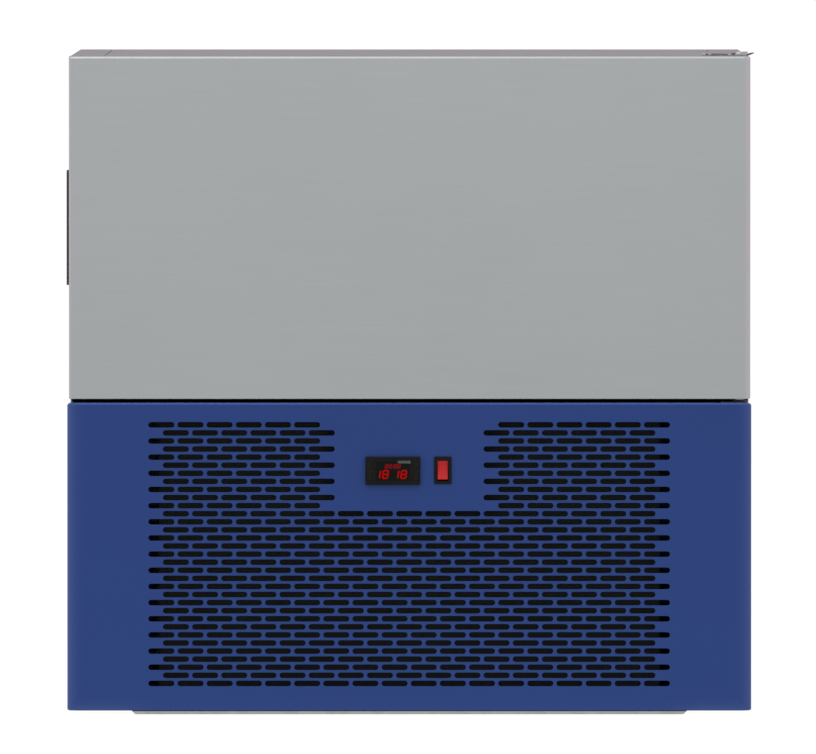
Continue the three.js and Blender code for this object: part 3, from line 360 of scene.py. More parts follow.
BOARD = Mat("display_mask", (21, 25, 25), 0.35, 0.0)
BOARD.tone(BOARD.noise((260, 260, 260), 2.0), 0.12)
BOARD.gloss(BOARD.noise((300, 300, 300), 2.0), 0.05)


def glowing(name, base, colour, strength, rough=0.3):
    g = Mat(name, base, rough, 0.0, Specular_IOR_Level=0.0)
    g.bsdf.inputs["Emission Color"].default_value = lin(colour)
    g.bsdf.inputs["Emission Strength"].default_value = strength
    g.tone(g.noise((900, 900, 900), 2.0), 0.08)
    g.gloss(g.noise((400, 400, 400), 2.0), 0.04)
    return g


LED = glowing("led_segment_lit", (40, 1, 1), (205, 3, 0), 0.84)
LED_DIM = glowing("led_segment_small", (30, 6, 8), (150, 8, 16), 0.95)
HAIR = Mat("hairline_print", (36, 38, 37), 0.45, 0.0, Specular_IOR_Level=0.05)
HAIR.tone(HAIR.noise((120, 120, 120), 3.0), 0.3)
HAIR.gloss(HAIR.noise((500, 500, 500), 2.0), 0.04)
PRINT = Mat("pale_print", (67, 72, 72), 0.45, 0.0, Specular_IOR_Level=0.1)
PRINT.tone(PRINT.noise((700, 700, 700), 2.0), 0.12)
PRINT.gloss(PRINT.noise((500, 500, 500), 2.0), 0.04)

ROCKER = Mat("red_rocker_plastic", (189, 43, 44), 0.38, 0.0, Specular_IOR_Level=0.08)
# painted highlight and shade: the rocker's top strip is lighter and the part below it darker
ROCKER.tone(ROCKER.height(), 0.2, 0.2938, 0.2950)
ROCKER.tone(ROCKER.noise((130, 130, 130), 2.0), 0.04)
ROCKER.gloss(ROCKER.noise((240, 240, 240), 2.0), 0.04)
ROCKER.bump(ROCKER.noise((1500, 1500, 1500), 2.0), 0.05, 0.00005)

BOX = Mat("enclosure_plastic", (30, 31, 33), 0.55, 0.0, Specular_IOR_Level=0.3)
BOX.tone(BOX.noise((24, 24, 24), 3.0), 0.10)
BOX.gloss(BOX.noise((90, 90, 90), 3.0), 0.07)
BOX.bump(BOX.noise((1500, 1500, 1500), 2.0), 0.18, 0.0001)

WHITE = Mat("off_white_plastic", (214, 214, 207), 0.5, 0.0)
WHITE.tone(WHITE.noise((30, 30, 30), 3.0), 0.03)
WHITE.gloss(WHITE.noise((90, 90, 90), 3.0), 0.07)
WHITE.bump(WHITE.noise((1900, 1900, 1900), 2.0), 0.12, 0.00008)

ENAMEL = Mat("black_enamel", (24, 24, 25), 0.34, 0.0, Coat_Weight=0.3, Coat_Roughness=0.2)
ENAMEL.tone(ENAMEL.noise((20, 20, 20), 3.0), 0.18)
ENAMEL.gloss(ENAMEL.noise((45, 45, 45), 3.0), 0.09)
ENAMEL.bump(ENAMEL.noise((520, 520, 520), 2.0), 0.15, 0.00015)

FANBLACK = Mat("fan_blade_black", (28, 28, 29), 0.48, 0.0)
FANBLACK.tone(FANBLACK.noise((35, 35, 35), 3.0), 0.15)
FANBLACK.gloss(FANBLACK.noise((70, 70, 70), 3.0), 0.08)
FANBLACK.bump(FANBLACK.noise((900, 900, 900), 2.0), 0.10, 0.0001)

FIN = Mat("fin_aluminium", (188, 190, 191), 0.38, 1.0)
FIN.tone(FIN.noise((40, 40, 40), 4.0), 0.07)
FIN.gloss(FIN.noise((60, 60, 60), 3.0), 0.10)
FIN.bump(FIN.noise((60, 60, 700), 3.0), 0.15, 0.0002)

COPPER = Mat("copper_pipe", (188, 110, 74), 0.30, 1.0)
COPPER.tint(COPPER.noise((28, 28, 28), 4.0, 0.6), (122, 66, 42), 0.5, 0.78, 0.7)
COPPER.tone(COPPER.noise((260, 260, 260), 3.0), 0.07)
COPPER.gloss(COPPER.noise((50, 50, 50), 3.0), 0.12)

FOAM = Mat("polyurethane_foam", (216, 199, 140), 0.95, 0.0)
FOAM.tone(FOAM.cells((420, 420, 420)), 0.12, 0.0, 1.0)
FOAM.gloss(FOAM.noise((90, 90, 90), 2.0), 0.04)
FOAM.bump(FOAM.cells((420, 420, 420)), 0.5, 0.0008)

SEAL = Mat("seal_rubber", (74, 75, 77), 0.62, 0.0)
SEAL.tone(SEAL.noise((50, 50, 50), 3.0), 0.08)
SEAL.gloss(SEAL.noise((90, 90, 90), 3.0), 0.08)
SEAL.bump(SEAL.noise((1100, 1100, 1100), 2.0), 0.15, 0.0001)

MAT_BLACK = Mat("filter_fibre", (19, 20, 19), 0.92, 0.0, Specular_IOR_Level=0.15)
MAT_BLACK.tone(MAT_BLACK.noise((700, 700, 700), 5.0, 0.7), 0.45)
MAT_BLACK.tone(MAT_BLACK.noise((12, 12, 12), 3.0), 0.12)
MAT_BLACK.gloss(MAT_BLACK.noise((200, 200, 200), 2.0), 0.04)
MAT_BLACK.bump(MAT_BLACK.noise((900, 900, 900), 5.0, 0.7), 0.9, 0.0012)

RUBBER = Mat("black_rubber", (26, 26, 26), 0.75, 0.0)
RUBBER.tone(RUBBER.noise((80, 80, 80), 3.0), 0.15)
RUBBER.gloss(RUBBER.noise((120, 120, 120), 3.0), 0.08)
RUBBER.bump(RUBBER.noise((1300, 1300, 1300), 2.0), 0.2, 0.0001)


# ------------------------------------------------------------------ mesh tools (millimetres)
def rr(x0, x1, z0, z1, r, n=8):
    """A rounded rectangle, counter-clockwise, 4 * (n + 1) points."""
    pts = []
    for cx, cz, start in ((x1 - r, z0 + r, -90), (x1 - r, z1 - r, 0), (x0 + r, z1 - r, 90), (x0 + r, z0 + r, 180)):
        for i in range(n + 1):
            t = radians(start + 90.0 * i / n)
            pts.append((cx + r * cos(t), cz + r * sin(t)))
    return pts


def xz(pts, y):
    return [(u, y, v) for u, v in pts]


def yz(pts, x):
    return [(x, u, v) for u, v in pts]


def xy(pts, z):
    return [(u, v, z) for u, v in pts]


def circle(cx, cy, r, n=32, start=0.0):
    return [(cx + r * cos(start + 2 * pi * i / n), cy + r * sin(start + 2 * pi * i / n)) for i in range(n)]


def arc(cx, cy, r, a0, a1, n):
    return [(cx + r * cos(radians(a0 + (a1 - a0) * i / n)), cy + r * sin(radians(a0 + (a1 - a0) * i / n))) for i in range(n + 1)]


def smooth_path(points, steps):
    """Samples a centripetal Catmull-Rom curve through the points, spaced evenly enough."""
    p = [Vector(q) for q in points]
    p = [p[0] * 2 - p[1]] + p + [p[-1] * 2 - p[-2]]
    out = []
    per = max(2, steps // (len(points) - 1))
    for i in range(1, len(p) - 2):
        t = [0.0]
        for a, b in ((i - 1, i), (i, i + 1), (i + 1, i + 2)):
            t.append(t[-1] + max(1e-4, (p[b] - p[a]).length) ** 0.5)
        for k in range(per):
            u = t[1] + (t[2] - t[1]) * k / per
            a1 = p[i - 1].lerp(p[i], (u - t[0]) / (t[1] - t[0]))
            a2 = p[i].lerp(p[i + 1], (u - t[1]) / (t[2] - t[1]))
            a3 = p[i + 1].lerp(p[i + 2], (u - t[2]) / (t[3] - t[2]))
            b1 = a1.lerp(a2, (u - t[0]) / (t[2] - t[0]))
            b2 = a2.lerp(a3, (u - t[1]) / (t[3] - t[1]))
            out.append(b1.lerp(b2, (u - t[1]) / (t[2] - t[1])))
    out.append(p[-2])
    return out


class Builder:
    def __init__(self):
        self.v, self.f, self.m = [], [], []

    def add(self, verts, faces, mat=0):
        base = len(self.v)
        self.v.extend(tuple(p) for p in verts)
        for f in faces:
            self.f.append([base + i for i in f])
            self.m.append(mat)
        return base

    def loft(self, loops, cap0=False, cap1=False, mat=0, closed=True, ring=False):
        """Quads between successive loops of equal length. ring joins the last loop to the first."""
        n = len(loops[0])
        verts = [q for loop in loops for q in loop]
        faces = []
        pairs = [(k, k + 1) for k in range(len(loops) - 1)] + ([(len(loops) - 1, 0)] if ring else [])
        for a, b in pairs:
            for i in range(n if closed else n - 1):
                j = (i + 1) % n
                faces.append([a * n + i, a * n + j, b * n + j, b * n + i])
        if cap0:
            faces.append(list(range(n))[::-1])
        if cap1:
            faces.append([(len(loops) - 1) * n + i for i in range(n)])
        self.add(verts, faces, mat)
        return self

    def lathe(self, profile, axis, c, n=48, mat=0):
        """profile is [(radius, height)]; a radius of 0 at an end closes it with a fan."""
        loops = []
        for r, h in profile:
            ring = []
            for i in range(n):
                t = 2 * pi * i / n
                u, w = max(r, 1e-4) * cos(t), max(r, 1e-4) * sin(t)
                if axis == "z":
                    ring.append((c[0] + u, c[1] + w, c[2] + h))
                elif axis == "y":
                    ring.append((c[0] + u, c[1] + h, c[2] + w))
                else:
                    ring.append((c[0] + h, c[1] + u, c[2] + w))
            loops.append(ring)
        return self.loft(loops, profile[0][0] > 0 and False, False, mat)

    def tube(self, pts, r, n=16, mat=0, caps=True, closed=False):
        pts = [Vector(p) for p in pts]
        m = len(pts)
        tang = []
        for i in range(m):
            a = pts[i - 1] if (i or closed) else pts[0]
            b = pts[(i + 1) % m] if (i < m - 1 or closed) else pts[-1]
            tang.append((b - a).normalized())
        ref = Vector((0, 0, 1)) if abs(tang[0].z) < 0.9 else Vector((1, 0, 0))
        u = tang[0].cross(ref).normalized()
        loops = []
        for i in range(m):
            u = (u - tang[i] * u.dot(tang[i])).normalized()
            w = tang[i].cross(u)
            rad = r[i] if isinstance(r, (list, tuple)) else r
            loops.append([pts[i] + (u * cos(2 * pi * k / n) + w * sin(2 * pi * k / n)) * rad for k in range(n)])
        return self.loft(loops, caps and not closed, caps and not closed, mat, ring=closed)

    def bar(self, x0, x1, y0, y1, z0, z1, c=0.4, mat=0):
        """A box with chamfered edges."""
        c = min(c, (x1 - x0) * 0.45, (y1 - y0) * 0.45, (z1 - z0) * 0.45)
        loops = [
            xy(rr(x0 + c, x1 - c, y0 + c, y1 - c, 1e-3, 1), z0),
            xy(rr(x0, x1, y0, y1, c, 2), z0 + c),
            xy(rr(x0, x1, y0, y1, c, 2), z1 - c),
            xy(rr(x0 + c, x1 - c, y0 + c, y1 - c, 1e-3, 1), z1),
        ]
        loops[0] = xy(rr(x0 + c, x1 - c, y0 + c, y1 - c, 1e-3, 2), z0)
        loops[3] = xy(rr(x0 + c, x1 - c, y0 + c, y1 - c, 1e-3, 2), z1)
        return self.loft(loops, True, True, mat)

    def bm(self):
        me = bpy.data.meshes.new("tmp")
        me.from_pydata([(x * MM, y * MM, z * MM) for x, y, z in self.v], [], self.f)
        b = bmesh.new()
        b.from_mesh(me)
        for face, k in zip(b.faces, self.m):
            face.material_index = k
        bpy.data.meshes.remove(me)
        return b

    def make(self, name, mats, body, *replaced, slot=None, sharp=32.0, merge=0.002, fix=True):
        return finish_bm(name, self.bm(), mats, body, replaced, sharp, merge, fix)


def finish_bm(name, b, mats, body, replaced=(), sharp=32.0, merge=0.002, fix=True):
    if merge:
        bmesh.ops.remove_doubles(b, verts=b.verts, dist=merge * MM)
    if fix:
        bmesh.ops.recalc_face_normals(b, faces=b.faces)
    for f in b.faces:
        f.smooth = True
    for e in b.edges:
        e.smooth = len(e.link_faces) == 2 and e.calc_face_angle(0.0) < radians(sharp)
    me = bpy.data.meshes.new(name)
    b.to_mesh(me)
    b.free()
    for m in mats if isinstance(mats, (list, tuple)) else [mats]:
        me.materials.append(m.m)
    o = bpy.data.objects.new(name, me)
    SCENE.collection.objects.link(o)
    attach(o, body)
    if replaced:
        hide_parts(*replaced)
    weigh(o)
    return o


def weigh(o):
    """Keeps large flat faces flat-shaded beside their small rounded edges."""
    w = o.modifiers.new("weighted_normals", "WEIGHTED_NORMAL")
    w.keep_sharp = True
    w.weight = 60
    return o


def detail(node, mat, bevel=0.4, seg=2, name=None, slot=None, sharp=32.0, angle=25.0, extra=None, extra_mats=()):
    """A copy of a CAD node with its flat faces joined, its edges rounded and its curves shaded smooth."""
    src = NODES[node]
    b = bmesh.new()
    b.from_mesh(src.data)
    for f in b.faces:
        f.material_index = 0
    bmesh.ops.remove_doubles(b, verts=b.verts, dist=2e-6)
    bmesh.ops.recalc_face_normals(b, faces=b.faces)
    bmesh.ops.dissolve_limit(b, angle_limit=radians(0.6), verts=b.verts, edges=b.edges)
    if bevel:
        edges = [e for e in b.edges if len(e.link_faces) == 2 and e.calc_face_angle(0.0) > radians(angle)]
        bmesh.ops.bevel(b, geom=edges, offset=bevel * MM, offset_type="OFFSET", segments=seg, profile=0.5, affect="EDGES", clamp_overlap=True)
    if extra is not None:
        me = bpy.data.meshes.new("tmp")
        me.from_pydata([(x * MM, y * MM, z * MM) for x, y, z in extra.v], [], extra.f)
        me.polygons.foreach_set("material_index", extra.m)
        b.from_mesh(me)
        bpy.data.meshes.remove(me)
    return finish_bm(name or node + "_piece", b, [mat, *extra_mats], src["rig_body"], (node,), sharp, 0)


def solidify(o, mm, offset=-1.0):
    for m in list(o.modifiers):
        o.modifiers.remove(m)
    s = o.modifiers.new("thickness", "SOLIDIFY")
    s.thickness = mm * MM
    s.offset = offset
    s.use_even_offset = True
    return weigh(o)


def plain(node, mat):
    """Gives a carried-over CAD node its material."""
    o = NODES[node]
    o.data.materials.clear()
    o.data.materials.append(mat.m)
    return o


def folded_box(x0, x1, y0, y1, z0, z1, r_side, r_top, r_bottom, cut_bottom=True):
    """The outside of a folded sheet: front at y0 with rounded bends, open at the back, and no front face."""
    b = bmesh.new()
    c = [(x0, y0, z0), (x1, y0, z0), (x1, y1, z0), (x0, y1, z0), (x0, y0, z1), (x1, y0, z1), (x1, y1, z1), (x0, y1, z1)]
    v = [b.verts.new(Vector(p) * MM) for p in c]
    for f in ((0, 1, 5, 4), (1, 2, 6, 5), (3, 0, 4, 7), (4, 5, 6, 7), (0, 3, 2, 1)):
        b.faces.new([v[i] for i in f])
    near = lambda a, t: abs(a - t * MM) < 1e-6
    edges = [e for e in b.edges if all(near(q.co.y, y0) for q in e.verts) and not near(e.verts[0].co.z, e.verts[1].co.z / MM)]
    edges = [e for e in b.edges if all(near(q.co.y, y0) for q in e.verts) and abs(e.verts[0].co.z - e.verts[1].co.z) > 1e-4]
    bmesh.ops.bevel(b, geom=edges, offset=r_side * MM, offset_type="OFFSET", segments=8, profile=0.5, affect="EDGES")
    for z, r, n in ((z1, r_top, 5), (z0, r_bottom, 4)):
        if not r:
            continue
        edges = [
            e
            for e in b.edges
            if all(near(q.co.z, z) for q in e.verts) and not all(near(q.co.y, y1) for q in e.verts) and len(e.link_faces) == 2
        ]
        bmesh.ops.bevel(b, geom=edges, offset=r * MM, offset_type="OFFSET", segments=n, profile=0.5, affect="EDGES")
    front = [f for f in b.faces if all(near(q.co.y, y0) for q in f.verts)]
    box = [v.co.copy() for f in front for v in f.verts]
    bmesh.ops.delete(b, geom=front, context="FACES")
    if cut_bottom:
        low = [f for f in b.faces if all(near(q.co.z, z0) for q in f.verts)]
        bmesh.ops.delete(b, geom=low, context="FACES")
    xs, zs = [p.x / MM for p in box], [p.z / MM for p in box]
    return b, (min(xs), max(xs), min(zs), max(zs))


def append_builder(b, builder):
    """Adds a Builder's faces to a bmesh, with their material numbers."""
    me = bpy.data.meshes.new("tmp")
    me.from_pydata([(x * MM, y * MM, z * MM) for x, y, z in builder.v], [], builder.f)
    marks = list(builder.m) + [0] * (len(builder.f) - len(builder.m))
    me.polygons.foreach_set("material_index", marks[: len(builder.f)])
    b.from_mesh(me)
    bpy.data.meshes.remove(me)


def holed_plate(outer, holes, y, plane=xz):
    """Triangles that fill a flat outline round its holes."""
    b = bmesh.new()
    edges = []
    for loop in [outer, *holes]:
        vs = [b.verts.new(Vector(p) * MM) for p in plane(loop, y)]
        edges += [b.edges.new((vs[i], vs[(i + 1) % len(vs)])) for i in range(len(vs))]
    bmesh.ops.triangle_fill(b, use_beauty=True, use_dissolve=False, edges=edges)
    out = Builder()
    b.verts.index_update()
    out.v = [tuple(q / MM for q in v.co) for v in b.verts]
    out.f = [[v.index for v in f.verts] for f in b.faces]
    out.m = [0] * len(out.f)
    b.free()
    return out


def mend_sheet(b):
    """Joins a sheet's parts and turns every face outwards from the sheet's middle."""
    bmesh.ops.remove_doubles(b, verts=b.verts, dist=0.004 * MM)
    bmesh.ops.recalc_face_normals(b, faces=b.faces)


# ------------------------------------------------------------------ fascia with its slots
FAS_X, FAS_Y, FAS_Z0, FAS_Z1 = 400.0, -400.0, 4.6, 364.9
PITCH, ROW, TOP_ROW, ROWS = 34.08, 9.452, 339.0, 33
SLOT_L, SLOT_H = 30.55, 6.5
CTRL = (-51.4, 12.8, 268.7, 301.7)
SWITCH = (28.9, 49.4, 269.8, 301.8)


def slot_loop(cx, cz, grow, n=7):
    r = SLOT_H / 2 + grow
    half = SLOT_L / 2 - SLOT_H / 2
    pts = [(cx, cz - r)] + arc(cx + half, cz, r, -90, 90, n) + [(cx, cz + r)] + arc(cx - half, cz, r, 90, 270, n)
    return pts


def fascia():
    b, (fx0, fx1, fz0, fz1) = folded_box(-FAS_X, FAS_X, FAS_Y, -333.0, FAS_Z0, FAS_Z1, 8.0, 3.0, 2.0)
    # the upper corners are nipped off where the folds meet
    for v in b.verts:
        u, w = FAS_X - abs(v.co.x) / MM, FAS_Z1 - v.co.z / MM
        if u + w < 3.0:
            d = (3.0 - u - w) / 2
            v.co.x -= math.copysign(d * MM, v.co.x)
            v.co.z -= d * MM
    # the side folds run out softly into the front, over 14 mm
    for v in b.verts:
        x = abs(v.co.x) / MM
        if x > FAS_X - 8.6:
            v.co.x = math.copysign((FAS_X - (FAS_X - x) * 14.0 / 8.0) * MM, v.co.x)
    fx0, fx1 = -(FAS_X - 14.0), FAS_X - 14.0
    # painted highlight along the top fold: its faces get a lighter, slightly glossier blue
    for f in b.faces:
        if f.normal.z > 0.2 and f.normal.y < -0.15 and f.calc_center_median().z > (FAS_Z1 - 4.0) * MM:
            f.material_index = 1
        elif f.normal.z < -0.2 and f.normal.y > 0.15 and f.calc_center_median().z > (FAS_Z1 - 4.0) * MM:
            f.material_index = 1
    p = Builder()
    half = PITCH / 2
    edge = 18 * half
    n = len(slot_loop(0, 0, 0))
    mid_top = 8 + 1  # index of the upper middle point in slot_loop
    soft = 0.25

    def cell(cx, cz, open_slot):
        z0, z1 = cz - ROW / 2, cz + ROW / 2
        corner = [(cx, z0), (cx + half, z0), (cx + half, z1), (cx, z1), (cx - half, z1), (cx - half, z0)]
        if not open_slot:
            p.add(xz(corner, FAS_Y), [[0, 1, 2, 3, 4, 5]])
            return
        rim = slot_loop(cx, cz, soft)
        inner = slot_loop(cx, cz, soft * 0.3)
        deep = slot_loop(cx, cz, 0.0)
        base = p.add(xz(corner, FAS_Y) + xz(rim, FAS_Y), [])
        s = base + 6
        p.f.append([base + 0, base + 1, base + 2, base + 3] + [s + i for i in range(mid_top, -1, -1)])
        p.f.append([base + 3, base + 4, base + 5, base + 0] + [s] + [s + i for i in range(n - 1, mid_top - 1, -1)])
        p.m += [0, 0]
        k = p.add(xz(inner, FAS_Y + soft * 0.3) + xz(deep, FAS_Y + soft), [])
        for i in range(n):
            j = (i + 1) % n
            p.f.append([s + i, s + j, k + j, k + i])
            p.f.append([k + i, k + j, k + n + j, k + n + i])
            p.m += [0, 0]

    for row in range(ROWS):
        cz = TOP_ROW - row * ROW
        count = 17 if row % 2 else 18
        blank = row <= 10
        for k in range(count):
            cx = (k - (count - 1) / 2) * PITCH
            if blank and 6 <= k < count - 6:
                continue
            cell(cx, cz, True)
        if blank and not row % 2:
            for s in (-1, 1):
                x0, x1 = sorted((s * 5 * half, s * 6 * half))
                p.add(xz([(x0, cz - ROW / 2), (x1, cz - ROW / 2), (x1, cz + ROW / 2), (x0, cz + ROW / 2)], FAS_Y), [[0, 1, 2, 3]])
        if row % 2:
            for s in (-1, 1):
                x0, x1 = sorted((s * 17 * half, s * 18 * half))
                p.add(xz([(x0, cz - ROW / 2), (x1, cz - ROW / 2), (x1, cz + ROW / 2), (x0, cz + ROW / 2)], FAS_Y), [[0, 1, 2, 3]])
    top, bottom = TOP_ROW + ROW / 2, TOP_ROW - (ROWS - 1) * ROW - ROW / 2
    low = TOP_ROW - 10 * ROW - ROW / 2
    # bare block with the two cut-outs
    xs = [j * half for j in range(-5, 6)]
    zs = [top - k * ROW for k in range(12)]
    outline = [(x, low) for x in xs] + [(5 * half, z) for z in zs[::-1][1:]] + [(x, top) for x in xs[::-1][1:]] + [(-5 * half, z) for z in zs[1:-1]]
    holes = [rr(-48.3, 9.7, 270.7, 298.9, 1.0, 2), rr(31.0, 47.2, 270.3, 299.5, 0.8, 2)]
    block = holed_plate(outline, holes, FAS_Y)
    p.add(block.v, block.f)
    # margins
    xs = [j * half for j in range(-18, 19)]
    p.add(xz([(x, top) for x in xs] + [(fx1, fz1), (fx0, fz1)], FAS_Y), [list(range(len(xs) + 2))])
    p.add(xz([(x, bottom) for x in xs[::-1]] + [(fx0, fz0), (fx1, fz0)], FAS_Y), [list(range(len(xs) + 2))])
    zs = [top - k * ROW for k in range(ROWS + 1)]
    p.add(xz([(-edge, z) for z in zs] + [(fx0, fz0), (fx0, fz1)], FAS_Y), [list(range(len(zs) + 2))])
    p.add(xz([(edge, z) for z in zs[::-1]] + [(fx1, fz1), (fx1, fz0)], FAS_Y), [list(range(len(zs) + 2))])
    # the field of slots sits a hair to the left
    p.v = [(x - 0.15 if abs(x) < edge + 1.0 else x, y, z) for x, y, z in p.v]
    append_builder(b, p)
    # flanks run further back than the top flange
    q = Builder()
    for s in (-1, 1):
        lo, hi = FAS_Z0 + 2.0, FAS_Z1 - 3.0
        q.add([(s * FAS_X, -333, lo), (s * FAS_X, -333, hi), (s * FAS_X, -315, hi), (s * FAS_X, -315, lo)], [[0, 1, 2, 3]])
    append_builder(b, q)
    mend_sheet(b)
    o = finish_bm("fascia_panel", b, [BLUE, BLUE_FOLD_HIGHLIGHT], "cabinet", ("front_panel",), 40.0, 0, False)
    # every face outwards: the sheet's thickness then goes inwards
    me = o.data
    bm = bmesh.new()
    bm.from_mesh(me)
    flip = [
        f
        for f in bm.faces
        if (f.normal.y > 0.05 if abs(f.normal.y) > 0.3 else False)
    ]
    if len(flip) > len(bm.faces) / 2:
        bmesh.ops.reverse_faces(bm, faces=bm.faces)
    bm.to_mesh(me)
    bm.free()
    return solidify(o, 1.2)


fascia()

# painted shade: a near-black matte colour for strips set where gaps and slits lie in shade
SHADE_BLACK = Mat("painted_shade_black", (12, 12, 12), 0.95, 0.0, Specular_IOR_Level=0.0)
SHADE_BLACK.tone(SHADE_BLACK.noise((300, 300, 300), 4.0, 0.6), 0.3)
SHADE_BLACK.gloss(SHADE_BLACK.noise((90, 90, 90), 2.0), 0.03)
SHADE_BLACK.bump(SHADE_BLACK.noise((800, 800, 800), 3.0), 0.4, 0.0004)


def shade_strips():
    """Near-black strips that paint shade: over the fascia's top fold, across the slit to the machine bay, under the
    fascia's lower edge and to the right of the filter.
    """
    b = Builder()
    b.bar(-394.0, 364.5, -395.0, -332.9, 364.75, 365.3, 0.2)
    b.bar(-394.8, 364.5, -332.9, -330.2, 364.9, 367.9, 0.3)
    b.bar(364.5, 384.0, -332.9, -330.4, 367.9, 368.3, 0.1)
    b.bar(-324.0, 324.0, -398.6, -392.0, 3.9, 4.55, 0.1)
    b.bar(293.4, 322.0, -352.0, -348.0, 8.0, 46.0, 0.3)
    b.make("fascia_painted_shade", SHADE_BLACK, "cabinet", slot="filter_black", sharp=30)


shade_strips()


def csk_screw(bl, c, direction, r=4.4, mat=0):
    """A countersunk head seen from outside, a round dip in place of its cross recess, axis along X."""
    s = direction
    x, y, z = c
    rings = [(0.9, -1.3), (1.1, -0.5), (r * 0.55, -0.05), (r * 0.93, -0.02), (r, -0.25), (r * 0.6, -1.5), (2.2, -2.4), (2.2, -11.0)]
    for a in (0.0,):
        bl.lathe([(0.0, s * -1.4)] + [(q, s * h) for q, h in rings] + [(0.0, s * -11.2)], "x", (x, y, z), 28, mat)
    return bl


for s, nm in ((-1, "left"), (1, "right")):
    csk_screw(Builder(), (s * 399.95, -322, 185), s).make(
        f"fascia_screw_{nm}_piece", SCREW, "cabinet", f"fascia_screw_{nm}", slot="hinge_steel", sharp=30
    )


# ------------------------------------------------------------------ door
DX, DZ0, DZ1 = 398.5, 369.0, 769.9


def door_shell():
    b, (fx0, fx1, fz0, fz1) = folded_box(-DX, DX + 0.3, -400.0, -346.0, DZ0, DZ1, 8.0, 3.3, 1.6, cut_bottom=False)
    # a tighter fold along the free edge
    edge = -DX + 0.45
    for v in b.verts:
        x = v.co.x / MM
        if x < -DX + 8.6:
            v.co.x = (edge + (x + DX) * 2.75 / 8.0) * MM
    fx0 = -DX + 3.2
    p = Builder()
    p.add(xz([(fx0, fz0), (fx1, fz0), (fx1, fz1), (fx0, fz1)], -400.0), [[0, 1, 2, 3]])
    append_builder(b, p)
    near = lambda a, t: abs(a - t * MM) < 1e-6
    # opening for the grip in the free edge, and holes for the hinge bushes
    side = [f for f in b.faces if f.calc_area() > 0.01 and all(near(v.co.x, edge) for v in f.verts)][0]
    ys = [v.co.y / MM for v in side.verts]
    zs = [v.co.z / MM for v in side.verts]
    loop = [(min(ys), min(zs)), (max(ys), min(zs)), (max(ys), max(zs)), (min(ys), max(zs))]
    bmesh.ops.delete(b, geom=[side], context="FACES_ONLY")
    append_builder(b, holed_plate(loop, [rr(-385.4, -354.6, 506.6, 631.9, 2.0, 3)], edge, yz))
    for z in (DZ0, DZ1):
        lid = [f for f in b.faces if all(near(v.co.z, z) for v in f.verts)]
        pts = []
        for f in lid:
            pts = [(v.co.x / MM, v.co.y / MM) for v in f.verts]
        bmesh.ops.delete(b, geom=lid, context="FACES_ONLY")
        append_builder(b, holed_plate(pts, [circle(385.4, -370.0, 9.4, 32)], z, xy))
    mend_sheet(b)
    o = finish_bm("door_shell", b, STEEL_DOOR, "door", ("door_skin",), 40.0, 0, False)
    me = o.data
    bm = bmesh.new()
    bm.from_mesh(me)
    big = max(bm.faces, key=lambda f: f.calc_area())
    if big.normal.y > 0:
        bmesh.ops.reverse_faces(bm, faces=bm.faces)
    bm.to_mesh(me)
    bm.free()
    return solidify(o, 1.2)


door_shell()


def door_liner():
    cz = 569.1
    loops = []

    def ring(hx, hz, r, y):
        loops.append(xz(rr(-hx, hx, cz - hz, cz + hz, r, 8), y))

    ring(397.0, 198.9, 3.0, -345.7)
    ring(397.9, 199.8, 3.0, -345.0)
    ring(397.9, 199.8, 3.0, -340.9)
    ring(397.5, 199.4, 2.8, -340.2)
    ring(396.8, 198.7, 2.4, -340.0)
    ring(357.5, 164.5, 16.0, -340.0)
    ring(356.2, 163.2, 15.0, -339.6)
    ring(352.6, 159.6, 12.5, -335.4)
    ring(351.6, 158.6, 12.0, -334.7)
    ring(350.2, 157.2, 11.0, -334.5)
    ring(300.0, 107.0, 8.0, -334.5)
    return Builder().loft(loops, False, True).make("door_inner_piece", STEEL_IN, "door", "door_inner_panel", slot="inner_steel", sharp=60)


door_liner()


def gasket():
    prof = [
        (9.4, -339.7), (10.0, -339.2), (10.0, -337.8), (9.5, -337.3), (6.6, -337.0), (5.8, -336.5), (5.9, -335.7),
        (7.4, -335.2), (7.6, -334.8), (6.2, -334.3), (6.4, -333.9), (9.4, -333.7), (10.0, -333.2), (10.0, -331.2), (9.2, -330.5), (7.5, -330.3),
        (-7.5, -330.3), (-9.2, -330.5), (-10.0, -331.2), (-10.0, -333.2), (-9.4, -333.7), (-6.4, -333.9), (-6.2, -334.3),
        (-7.6, -334.8), (-7.4, -335.2), (-5.9, -335.7), (-5.8, -336.5), (-6.6, -337.0), (-9.5, -337.3), (-10.0, -337.8), (-10.0, -339.2), (-9.4, -339.7),
    ]
    loops = [xz(rr(-371 - o, 371 + o, 569 - 181 - o, 569 + 181 + o, 12.5 + o, 8), y) for o, y in prof]
    return Builder().loft(loops, ring=True).make("door_seal", SEAL, "door", "door_gasket", slot="seal", sharp=50)


gasket()


def grip():
    b = Builder()
    y0, y1, z0, z1 = -389.0, -351.0, 502.0, 636.5
    loops = []

    def ring(inset, r, x):
        loops.append(yz(rr(y0 + inset, y1 - inset, z0 + inset, z1 - inset, r, 6), x))

    ring(0.0, 3.0, -398.5)
    ring(0.0, 3.0, -400.1)
    ring(0.25, 2.9, -400.5)
    ring(0.8, 2.6, -400.7)
    ring(5.2, 5.0, -400.7)
    ring(5.9, 4.8, -400.5)
    ring(6.3, 4.6, -399.9)
    ring(6.9, 4.4, -392.0)
    ring(7.4, 4.2, -380.0)
    ring(8.6, 3.6, -375.6)
    ring(10.4, 2.6, -374.4)
    b.loft(loops, True, True)
    # ribs on the rear wall of the pocket, where the fingertips pull
    for i in range(9):
        z = 518.0 + i * 12.75
        b.bar(-396.5, -379.5, -358.6, -357.5, z - 1.1, z + 1.1, 0.5)
    return b.make("door_grip", GRIP, "door", "door_handle", slot="black_plastic", sharp=40)


